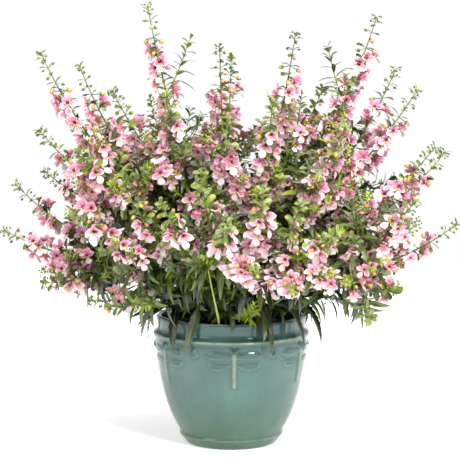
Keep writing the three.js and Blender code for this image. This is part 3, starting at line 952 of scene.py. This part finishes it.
# %% Pulling a blade
def pull_blade(name, rows, finish, bend):
    """A sheet of two columns along +Z, from rows of height, half width, lift of the edges and lead of the middle."""
    height, width, lift, lead = (value * MM for value in rows[0])
    sheet = draw_line(name, [(-width, lift, height - lead), (0, 0, height), (width, lift, height - lead)])
    bpy.ops.mesh.select_all(action="SELECT")
    for before, after in zip(rows, rows[1:]):
        bpy.ops.mesh.extrude_region_move(TRANSFORM_OT_translate={"value": (0, 0, (after[0] - before[0]) * MM)})
        growth = tuple(after[i] / before[i] for i in (1, 2, 3))
        bpy.ops.transform.resize(value=growth, center_override=(0, 0, after[0] * MM))
    if rows[-1][1] < 0.05:
        bpy.ops.mesh.merge(type="CENTER")
    bpy.ops.mesh.select_all(action="SELECT")
    if sheet_faces_down(sheet):
        bpy.ops.mesh.flip_normals()
    bpy.ops.object.mode_set(mode="OBJECT")
    note_blade(sheet, rows)
    apply_modifier(sheet, "SIMPLE_DEFORM", deform_method="BEND", deform_axis="X", angle=bend)
    bpy.ops.object.shade_smooth()
    sheet.data.materials.append(finish)
    return sheet


def sheet_faces_down(sheet):
    """True if the faces of a sheet in edit mode look away from its upper side, +Y."""
    shape = bmesh.from_edit_mesh(sheet.data)
    shape.normal_update()
    return sum(face.normal.y for face in shape.faces) < 0


def note_blade(sheet, rows):
    """Stores across and along for each vertex of a straight blade, with room for a chance."""
    top = rows[-1][0] * MM
    values = []
    for point in sheet.data.vertices:
        across = 0.0 if abs(point.co.x) < 1e-6 else math.copysign(1, point.co.x)
        values.append((across, min(max(point.co.z / top, 0), 1), 0.5))
    store(sheet, "blade", values)


# %% The leaf models
def toothed_rows(length, half_width, outline, tooth):
    """Rows of a blade whose edge steps out and in again between the points of its outline."""
    rows = []
    for number, (share, width) in enumerate(outline):
        width *= half_width
        rows.append((share * length, width, 0.34 * width, 0.05 * width))
        if tooth and 2 <= number < len(outline) - 1:
            inner = (1 - tooth) * width
            rows.append(((share + 0.022) * length, inner, 0.34 * inner, 0.05 * inner))
    rows.append((length, 0.01, 0.0034, 0.0005))
    return rows


LANCE = [(0, 0.1), (0.07, 0.13), (0.15, 0.45), (0.25, 0.78), (0.35, 0.96), (0.45, 1)]
LANCE += [(0.55, 0.95), (0.65, 0.82), (0.75, 0.62), (0.86, 0.38)]
SLIM = [(0, 0.12), (0.12, 0.4), (0.27, 0.85), (0.45, 1), (0.64, 0.82), (0.82, 0.48)]
SPOON = [(0, 0.16), (0.27, 0.5), (0.52, 0.92), (0.75, 1), (0.92, 0.68)]
NIB = [(0, 0.25), (0.35, 0.95), (0.65, 0.85)]
LEAF_LENGTH, LEAF_BEND = 74, 1.1
# Length and half width in mm, outline, depth of the teeth as a share of the width, and bend in radians
LEAF_KINDS = {
    "long_leaf": (LEAF_LENGTH, 6.2, LANCE, 0.14, LEAF_BEND),
    "stiff_leaf": (LEAF_LENGTH, 5.8, LANCE, 0.14, 0.55),
    "limp_leaf": (LEAF_LENGTH, 5.8, LANCE, 0.14, 1.7),
    "small_leaf": (36, 4.2, SLIM, 0.12, 0.7),
    "bract_leaf": (12, 3.1, SPOON, 0, 0.7),
    "tip_leaf": (10, 1.7, NIB, 0, 0.4),
}
LEAVES = {}
for name, (length, half_width, outline, tooth, bend) in LEAF_KINDS.items():
    model = pull_blade(name, toothed_rows(length, half_width, outline, tooth), leaf_green, -bend)
    LEAVES[model] = (length, bend)
    print(name, len(model.data.polygons), "faces", [round(size * 1000, 1) for size in model.dimensions])
long_leaf, stiff_leaf, limp_leaf, small_leaf, bract_leaf, tip_leaf = LEAVES
LONG_LEAVES = (long_leaf, stiff_leaf, limp_leaf)

# %% [markdown]
# ## Modelling a flower
# An angelonia flower has two lips: two small lobes above, two wide ones at the sides and one rounded lobe that
# hangs below, all round the mouth of a short pouch on a thin stalk. One petal is pulled for each kind of lobe,
# turned to its place round the mouth and joined to a cone for the pouch and a smaller one for the calyx.

# %% Petals
# Rows as above, in mm
LOWER_ROWS = [(0, 2.0, 0.3, 0.2), (4.4, 2.0, 0.4, 0.3), (7.6, 4.1, 1.0, 0.5), (11.4, 4.9, 1.3, 1.0)]
LOWER_ROWS += [(14.4, 3.2, 0.6, 1.6)]
SIDE_ROWS = [(0, 2.2, 0.3, 0.2), (3, 3.4, 1.0, 0.5), (6, 4.3, 1.7, 1.0), (8.8, 3.9, 1.2, 1.7), (11, 2.1, 0.5, 1.6)]
UPPER_ROWS = [(0, 2.4, -0.3, 0.2), (2.4, 3.6, -0.9, 0.4), (5, 4.2, -1.5, 0.8), (7.4, 3.5, -1.1, 1.3)]
UPPER_ROWS += [(9, 1.7, -0.5, 1.2)]
# Turn round the mouth and lift in degrees, kind for the finish from lower to upper, and rows
LOBES = [
    (0, -18, 0.0, LOWER_ROWS),
    (70, 0, 0.5, SIDE_ROWS),
    (-70, 0, 0.5, SIDE_ROWS),
    (151, 20, 1.0, UPPER_ROWS),
    (-151, 20, 1.0, UPPER_ROWS),
]
MOUTH_RADIUS, MOUTH_HEIGHT = 2.3, 11.5


def hollow_cone(name, sides, low, high, low_radius, high_radius, finish):
    """A cone without ends along +Z, which carries how far along it a vertex lies and how far down its side is."""
    bpy.ops.object.select_all(action="DESELECT")
    middle = (0, 0, (low + high) / 2 * MM)
    size = {"radius1": low_radius * MM, "radius2": high_radius * MM, "depth": (high - low) * MM}
    bpy.ops.mesh.primitive_cone_add(vertices=sides, end_fill_type="NOTHING", location=middle, **size)
    cone = bpy.context.object
    cone.name = name
    bpy.ops.object.transform_apply(location=True, rotation=True, scale=True)
    bpy.ops.object.shade_smooth()
    spots = [point.co for point in cone.data.vertices]
    store(cone, "blade", [(-spot.y / size["radius2"], (spot.z - low * MM) / size["depth"], 0.5) for spot in spots])
    cone.data.materials.append(finish)
    return cone


def model_flower(name, open_tilt, curl):
    """A flower that faces +Z with its lowest lobe towards -Y, on a stalk from the origin."""
    parts = []
    for turn, lift, kind, rows in LOBES:
        lobe = pull_blade("lobe", rows, petal_pink, bend=curl * draws.uniform(0.6, 1.4))
        turn += draws.uniform(-6, 6)
        tilt = Matrix.Rotation(math.radians(90 - open_tilt - lift + draws.uniform(-12, 12)), 4, "X")
        mouth = Matrix.Translation((0, -MOUTH_RADIUS * MM, MOUTH_HEIGHT * MM))
        lobe.data.transform(Matrix.Rotation(math.radians(turn), 4, "Z") @ mouth @ tilt)
        parts.append(mark(lobe, lobe=kind))
    parts.append(hollow_cone("pouch", 7, 7, MOUTH_HEIGHT + 0.2, 1.3, MOUTH_RADIUS + 0.5, throat_plum))
    parts.append(hollow_cone("calyx", 5, 6, 8.6, 0.6, 2.2, stem_green))
    parts.append(hollow_cone("stalk", 4, 0, 7, 0.45, 0.5, stem_green))
    return join_all(name, parts)


# How far the lobes tilt forwards in degrees, and how much they curl back
FLOWER_KINDS = {"open": (14, 0.4), "wide": (2, 0.3), "shy": (38, -0.2), "closing": (52, -0.5), "limp": (-12, 1.0)}
FLOWERS = [model_flower(f"{name}_flower", tilt, curl) for name, (tilt, curl) in FLOWER_KINDS.items()]
for model in FLOWERS:
    print(model.name, len(model.data.polygons), "faces", [round(size * 1000, 1) for size in model.dimensions])

# %% [markdown]
# ## Modelling a bud
# The buds are small egg shapes on thin stalks. A sphere of a few faces is stretched and set on a stalk. Near the
# tip of a spike they are green and hard, and just above the open flowers they are salmon pink.


# %% Bud models
def model_bud(name, stalk_length, radius, length):
    """A bud at the end of a stalk along +Z."""
    bpy.ops.object.select_all(action="DESELECT")
    middle = (0, 0, (stalk_length + length) * MM)
    bpy.ops.mesh.primitive_uv_sphere_add(segments=6, ring_count=5, radius=radius * MM, location=middle)
    egg = bpy.context.object
    bpy.ops.object.transform_apply(location=True)
    select_points(egg, lambda place: place.z > middle[2] + 0.1 * radius * MM)
    bpy.ops.transform.resize(value=(0.85, 0.85, length / radius * 1.25), center_override=middle)
    bpy.ops.object.mode_set(mode="OBJECT")
    bpy.ops.object.shade_smooth()
    low, high = (stalk_length + length - radius) * MM, (stalk_length + 2.1 * length) * MM
    store(egg, "blade", [(0, (point.co.z - low) / (high - low), 0.5) for point in egg.data.vertices])
    egg.data.materials.append(bud_green)
    stalk = hollow_cone("stalk", 4, 0, stalk_length + length - 0.6 * radius, 0.38, 0.42, stem_green)
    return join_all(name, [egg, stalk])


round_bud = model_bud("round_bud", 7, 2.0, 2.0)
plump_bud = model_bud("plump_bud", 7, 2.6, 3.2)
print("buds:", len(round_bud.data.polygons), "faces each")

# %% [markdown]
# ## Growing the spikes
# A spike has flowers on its lower part, one for each flower of the solid and two or three up to the next, then
# salmon buds, then pairs of green buds under small bracts, each pair a quarter turn from the one below, which
# crowd together towards the tip. Each flower stands over a bract of its own. A flower turns its face away from
# the middle of the bush, and its lowest lobe hangs down.


# %% An organ on the plant
def organ(model, place, size, youth):
    """A copy of a model in its place, with a chance and a youth of its own."""
    grown = copy_of(model, place @ Matrix.Scale(size, 4))
    note = grown.data.attributes["blade"]
    values = np.empty(3 * len(grown.data.vertices), np.float32)
    note.data.foreach_get("vector", values)
    values[2::3] = draws.random()
    note.data.foreach_set("vector", values)
    return mark(grown, youth=youth)


def jolt(most):
    """A small seeded turn about the organ's own three axes."""
    turns = [Matrix.Rotation(draws.uniform(-most, most), 4, axis) for axis in "XYZ"]
    return turns[0] @ turns[1] @ turns[2]


def crosswise(pair, spread):
    """The angles of two opposite organs, a quarter turn from the pair below, each drawn when it is asked for."""
    for opposite in (0, math.pi):
        yield pair * math.pi / 2 + opposite + draws.uniform(-spread, spread)


def facing_out(place, lean):
    """A place turned by lean away from the middle of the bush, with its upper side up."""
    point = place.translation
    along = (place.to_3x3().col[2] + lean * Vector((point.x, point.y, 0)).normalized()).normalized()
    upper = (0.35 * place.to_3x3().col[1] + UP - along * along.z).normalized()
    return standing(point, along, upper)


# %% Parts of a spike
GOLDEN_ANGLE = math.pi * (3 - math.sqrt(5))
BUD_DISTANCES = (1.5, 4.5, 8, 13, 21, 30, 41, 53)
FLOWER_SHARE, FLOWER_STEP = 0.6, 19
FLOWER_RIM = Vector((0, -1.08 * 14, 0.85 * 15))


def add_flower(parts, place, size, fresh):
    """A flower at a place, open or half open."""
    parts.append(organ(draws.choice(FLOWERS), place, size, fresh))


def add_bract(parts, stem, share, turn, youth):
    """A leafy bract that points up along the stem."""
    under = on_stem(stem, share, turn, 0.5) @ jolt(0.4)
    model = draws.choice((bract_leaf, small_leaf))
    parts.append(organ(model, under, draws.uniform(9, 17 if model is bract_leaf else 24) / LEAVES[model][0], youth))


def spike_flowers(node, stem, index):
    """Flowers where the solid has them and two or three more between each, all over bracts."""
    parts = []
    low, reach = stem.spike_start, 1 - stem.spike_start
    count = round(FLOWER_SHARE * stem.spike_length / (FLOWER_STEP * MM))
    for number in range(count):
        size = 1.04 - 0.04 * number
        angle = index + number * GOLDEN_ANGLE
        share = 0.05 + FLOWER_SHARE * number / count
        place = solid_place(node, stem, low, 1, 3, share, angle, -0.15, FLOWER_RIM * size * MM)
        fresh = 0.15 + 0.85 * number / count
        if place:
            add_flower(parts, facing_out(place, 0.3) @ jolt(0.12), 1.02 * size, fresh)
        for more in (1, 2, 3) if draws.random() < 0.4 else (1, 2):
            share = low + reach * (0.05 + 0.62 * (number + more / 3) / count)
            turn = angle + more * 2.1 + draws.uniform(-0.6, 0.6)
            above = facing_out(on_stem(stem, share, turn, -0.1), 0.75) @ jolt(0.35)
            add_flower(parts, above, draws.uniform(0.84, 1.04), fresh + 0.1 * more)
        for more in range(6):
            share = low + reach * 0.7 * (number + more / 6) / count
            turn = draws.uniform(0, math.tau)
            add_bract(parts, stem, share, turn, draws.uniform(-0.4, 0.5))
    return parts


def spike_buds(stem, spread, pairs=8, size_share=1.25, young=0.08):
    """Pairs of buds over pairs of bracts up to the tip."""
    parts = []
    for pair, distance in enumerate(BUD_DISTANCES[:pairs]):
        share = 1 - distance * spread * MM / stem.length
        age = distance / BUD_DISTANCES[-1]
        for angle in crosswise(pair, 0.35):
            under = on_stem(stem, share, angle, 1.0 - 0.7 * age) @ jolt(0.35)
            youth = draws.uniform(young, young + 0.4) - 0.15 * age
            model = tip_leaf if young > 0.5 else bract_leaf
            parts.append(organ(model, under, (0.55 + 0.4 * age) * size_share * draws.uniform(0.85, 1.25), youth))
            ripe = age > 0.5 and draws.random() < 0.6
            hanging = on_stem(stem, share, angle + draws.uniform(-0.6, 0.6), 0.5 - 1.1 * age) @ jolt(0.3)
            size = (0.6 + 0.65 * age) * draws.uniform(0.85, 1.15)
            parts.append(organ(plump_bud if ripe else round_bud, hanging, size, 0.0 if ripe else 1.0))
    return parts


# %% Side stems
BOX_MARGIN = 4 * MM
MIX_RADIUS, RIM_RADIUS = 78, 108
ABOVE_MIX, ABOVE_RIM, BESIDE_POT = 160, 185, 120


def fits(point):
    """True if a point is well inside the model's box and above the mix, the rim or the belly of the pot."""
    spans = zip(cad_low, point, cad_high)
    room = all(low - BOX_MARGIN < value < high + BOX_MARGIN for low, value, high in spans)
    radius = math.hypot(point.x, point.y) / MM
    lowest = ABOVE_MIX if radius < MIX_RADIUS else ABOVE_RIM if radius < RIM_RADIUS else BESIDE_POT
    return room and point.z > lowest * MM


def side_stem(parent, share, angle, length, lift):
    """A short stem that leaves its parent at an angle round it, or None if it would leave the box."""
    foot = parent.at(share)
    out = on_stem(parent, share, angle, 0.7).to_3x3().col[2]
    tip = foot + (out + lift * UP).normalized() * length * MM
    return Stem(foot, out.normalized(), tip) if fits(tip) else None


def side_raceme(stem):
    """A short spike with a cluster of flowers on its middle and buds above."""
    parts = [rod_along(twig_rod, stem, 0, 1, 1.1, 0.45, draws.uniform(0.2, 0.7))]
    count = round(stem.length / (8 * MM))
    for number in range(count):
        share = 0.3 + 0.45 * number / count
        turn = number * GOLDEN_ANGLE + draws.uniform(-0.4, 0.4)
        above = facing_out(on_stem(stem, share, turn, -0.1), 0.7) @ jolt(0.35)
        add_flower(parts, above, draws.uniform(0.72, 0.94), number / count)
        if draws.random() < 0.5:
            beside = on_stem(stem, share + 0.15, turn + 1.5, 0.3) @ jolt(0.4)
            parts.append(organ(plump_bud, beside, draws.uniform(0.7, 1.05), 0.0))
        for more in range(2):
            add_bract(parts, stem, share * draws.random(), turn + 2 + more, draws.uniform(0, 0.9) ** 2)
    return parts + spike_buds(stem, 0.75 * stem.length / (70 * MM), 6, 0.9, 0.6)


def lowest_raceme(point):
    """How low a side raceme may start in metres: higher left of the middle in front, where long leaves show."""
    return 0.262 if -0.1 < point.x < 0.01 and point.y < -0.04 else 0.2


# %% All spikes
index = 0
flowers = 0
for shoot_number, stems in enumerate(shoots, 1):
    for rank, stem in enumerate(stems, 1):
        node = f"flower_spike_{shoot_number:02d}_{rank}"
        parts = [rod_along(stem_rod, stem, stem.spike_start - 1 * MM / stem.length, 1, 1.35, 0.5, 0.2)]
        parts += spike_flowers(node, stem, index)
        parts += spike_buds(stem, max(0.6, stem.spike_length / (SPIKE_LENGTH * MM)))
        for side in range(4 if stem.at(1).y < -0.06 else 2):
            share = stem.spike_start * draws.uniform(0.5, 1)
            turn = (-1) ** side * draws.uniform(0.1, 1.7)
            branch = side_stem(stem, share, turn, draws.uniform(60, 95), draws.uniform(0.1, 0.7))
            if branch and branch.at(0.3).z > lowest_raceme(branch.at(0.6)):
                parts += side_raceme(branch)
        flowers += sum(1 for part in parts if "_flower" in part.name)
        raceme = join_all(f"raceme_{shoot_number:02d}_{rank}", parts)
        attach(raceme, "root")
        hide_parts(node)
        index += 1
print("racemes:", index, "with", flowers, "flowers")

# %% [markdown]
# ## Growing the shoots
# A shoot carries opposite pairs of leaves, each pair a quarter turn from the last, from its foot to its spikes:
# long ones below, shorter ones above. Leafy side twigs with yellow-green tips fill the bush between the spikes,
# and a short side shoot low down hangs its leaves over the rim of the pot. One of the shoots at the front has a
# bright young stem of its own, which stands out against the dark inside.


# %% Leaves that keep clear of the pot
def clear_of_pot(place, length, turned):
    """True if a leaf that bends by turned stays off the rim, above the mix and away from the bright front stem."""
    for step in range(1, 11):
        bend = turned * step / 10
        spot = place @ (Vector((0, math.cos(bend) - 1, math.sin(bend))) * length * MM / turned)
        radius = math.hypot(spot.x, spot.y) / MM
        in_rim = 82 < radius < 101 and spot.z < 165 * MM
        in_mix = radius <= 82 and spot.z < 155 * MM
        hides_stem = abs(spot.x + 21 * MM) < 6 * MM and spot.y < -95 * MM and 0.16 < spot.z < 0.24
        if in_rim or in_mix or hides_stem:
            return False
    return True


def add_leaf(parts, model, place, length, youth):
    """Adds a leaf of this length, or nothing where it would cut the pot."""
    whole, turned = LEAVES[model]
    if clear_of_pot(place, length, turned):
        parts.append(organ(model, place, length / whole, youth))


# %% Leaves of a stem
def leaf_pairs(parts, stem, low, high, spacing, taken):
    """Opposite pairs between two shares of a stem, shorter with height, except where the solid has its own."""
    count = max(1, round((high - low) * stem.length / (spacing * MM)))
    for pair in range(count):
        share = low + (high - low) * (pair + 0.5) / count
        if any(abs(share - other) * stem.length < 0.4 * spacing * MM for other in taken):
            continue
        length = np.interp(stem.at(share).z / MM, (170, 250, 340, 480), (72, 58, 37, 18))
        for angle in crosswise(pair, 0.5):
            place = on_stem(stem, share, angle, draws.uniform(0.2, 0.8)) @ jolt(0.2)
            model = draws.choice(LONG_LEAVES) if length > 44 else small_leaf
            youth = draws.uniform(0, 0.75) ** 2 if model is small_leaf else draws.uniform(-0.75, 0.0)
            add_leaf(parts, model, place, length * draws.uniform(0.75, 1.1), youth)


def leafy_twig(parts, stem, longest, youth, spacing):
    """A side twig, whose pairs of leaves grow shorter and younger up to its tip."""
    parts.append(rod_along(twig_rod, stem, 0, 1, 0.9, 0.4, 0.2 + 0.7 * youth))
    pairs = max(4, round(stem.length / (spacing * MM)))
    for pair in range(pairs):
        up = pair / (pairs - 1)
        length = longest * (1 - 0.7 * up)
        for angle in crosswise(pair, 0.4):
            place = on_stem(stem, 0.25 + 0.73 * up, angle, 0.4 + 0.9 * up) @ jolt(0.25)
            model = small_leaf if length > 16 else tip_leaf if youth > 0.5 else bract_leaf
            add_leaf(parts, model, place, length * draws.uniform(0.85, 1.15), youth * (0.6 + 0.4 * up))


def add_twigs(parts, stem, count, lengths, leaf, youths, spacing):
    """Leafy twigs at seeded places along a stem, with leaves of about a length in mm that shrink with height."""
    for _ in range(count):
        share = stem.spike_start * draws.uniform(0.25, 1.15)
        twig = side_stem(stem, share, draws.uniform(0, math.tau), draws.uniform(*lengths), draws.uniform(0.2, 0.9))
        if twig:
            longest = leaf * draws.uniform(0.75, 1.25) * np.interp(stem.at(share).z, (0.2, 0.4), (1.2, 0.8))
            leafy_twig(parts, twig, longest, draws.choice(youths), spacing)


def solid_leaf(parts, node, stem, low, high, steps, share, angle, rise, length):
    """A long leaf where the solid has one, shorter where it would hang over the dragonfly in front."""
    reach = length * MM / LEAF_BEND
    tip = Vector((0, reach * (math.cos(LEAF_BEND) - 1), reach * math.sin(LEAF_BEND)))
    place = solid_place(node, stem, low, high, steps, share, angle, rise, tip)
    if place:
        end = place @ tip
        if abs(end.x) < 12 * MM and end.y < -0.09 and end.z < 0.14:
            length *= 0.62
        parts.append(organ(long_leaf, place, length / LEAF_LENGTH, draws.uniform(-0.6, 0.0)))
    return bool(place)


# %% Parts of a shoot
GAP = 0.35 * MM
TWIG_REACH, TWIG_HEIGHT = 86, 190
BRIGHT_LEAVES = ((0.97, 1.7, 34), (0.97, -1.7, 32), (0.9, 0, 26), (0.78, 1.2, 30), (0.74, -1.3, 28))


def grow_stem(parts, node, stem, rank):
    """A leading stem or a branch with all its leaves and twigs. Returns how many leaves of the solid it has."""
    low = 0 if rank else GAP / stem.length
    high = stem.spike_start - GAP / stem.length
    youth = draws.choice((0.05, 0.15, 0.3, 0.7))
    parts.append(rod_along(stem_rod, stem, 0, stem.spike_start, 1.8 if rank else 2.8, 1.35, youth))
    found = 0
    pairs = (0.65,) if rank else (0.5, 0.8)
    for pair, share in enumerate(pairs):
        length = LEAF_LENGTH * (0.75 if rank else 0.95 - 0.1 * pair)
        angle = 0 if rank else (pair + 1) * math.pi / 2
        for opposite in (0, math.pi):
            steps = 4 if rank else 6
            found += solid_leaf(parts, node, stem, low, high, steps, share, angle + opposite, 0.5, length)
    taken = [low + (high - low) * share for share in pairs]
    leaf_pairs(parts, stem, 0.2 if rank else 0.06, high + 0.03, 9, taken)
    add_twigs(parts, stem, 7 if rank else 9, (35, 80), 32, (0.02, 0.05, 0.1, 0.3), 8)
    add_twigs(parts, stem, 7 if rank else 8, (22, 50), 12, (0.8, 1.0), 5)
    return found


def hang_over_rim(parts, node, leader, number):
    """The low side shoot that hangs its leaves over the rim. Returns how many leaves of the solid it has."""
    for turn in TURNS:
        heading = -0.35 + math.tau * number / len(shoots) + turn / 2
        tip = Vector((TWIG_REACH * math.cos(heading), TWIG_REACH * math.sin(heading), TWIG_HEIGHT)) * MM
        if np.linalg.norm(solid_points[node] - np.array(tip), axis=1).min() < 1.7 * MM:
            break
    else:
        return 0
    twig = Stem(leader.at(0.1), UP, tip)
    parts.append(rod_along(twig_rod, twig, 0, 1, 1.6, 1.1, 0.6))
    found = solid_leaf(parts, node, twig, 0, 1, 2, 0.95, 0, 0.6, LEAF_LENGTH)
    for side in (1.8, -1.8):
        found += solid_leaf(parts, node, twig, 0, 1, 2, 0.8, side, 0.4, 66.6)
    for share in np.linspace(0.98, 0.25, 12):
        place = on_stem(twig, share, draws.uniform(-1.6, 1.6), draws.uniform(0.1, 1)) @ jolt(0.3)
        model = draws.choice(LONG_LEAVES)
        add_leaf(parts, model, place, draws.uniform(48, 78), draws.uniform(-0.8, 0.0))
    return found


def bright_front_stem(parts):
    """A young stem that stands out against the dark inside, and a rosette of young leaves beside it."""
    front = Stem(Vector((-14, -78, 150)) * MM, Vector((0, -0.6, 1)).normalized(), Vector((-29, -132, 246)) * MM)
    parts.append(rod_along(stem_rod, front, 0, 1, 1.5, 1.0, 0.8))
    for share, turn, length in BRIGHT_LEAVES:
        add_leaf(parts, small_leaf, on_stem(front, share, turn, 0.35), length, 0.75)
    add_leaf(parts, limp_leaf, on_stem(front, 0.17, 0.2, 0.5), 52, -0.2)
    rosette = Stem(Vector((14, -80, 152)) * MM, UP, Vector((28, -116, 190)) * MM)
    leafy_twig(parts, rosette, 28, 1.0, 6)


# %% All shoots
FRONT_SHOOT = 13
found = 0
for number, stems in enumerate(shoots):
    node = f"shoot_{number + 1:02d}"
    parts = []
    for rank, stem in enumerate(stems):
        found += grow_stem(parts, node, stem, rank)
    found += hang_over_rim(parts, node, stems[0], number)
    if number == FRONT_SHOOT:
        bright_front_stem(parts)
    bush = join_all(f"leafy_shoot_{number + 1:02d}", parts)
    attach(bush, "root")
    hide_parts(node)
print("leaves at the places of the solids:", found)

# %% [markdown]
# ## Leaving only the finished pieces
# The models that were copied are taken away, and the box of the finished pieces is printed with the count of
# triangles, as the box of the solids was printed at the start.

# %% Clearing the bench and closing
for model in (twig_rod, stem_rod, *LEAVES, *FLOWERS, round_bud, plump_bud):
    bpy.data.objects.remove(model)
seen_low, seen_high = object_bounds()
triangles = [len(piece.data.loops) - 2 * len(piece.data.polygons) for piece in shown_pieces()]
box = [round(value, 4) for value in (*seen_low, *seen_high)]
print("pieces:", len(triangles), "triangles:", sum(triangles), "most in one:", max(triangles), "box:", box)
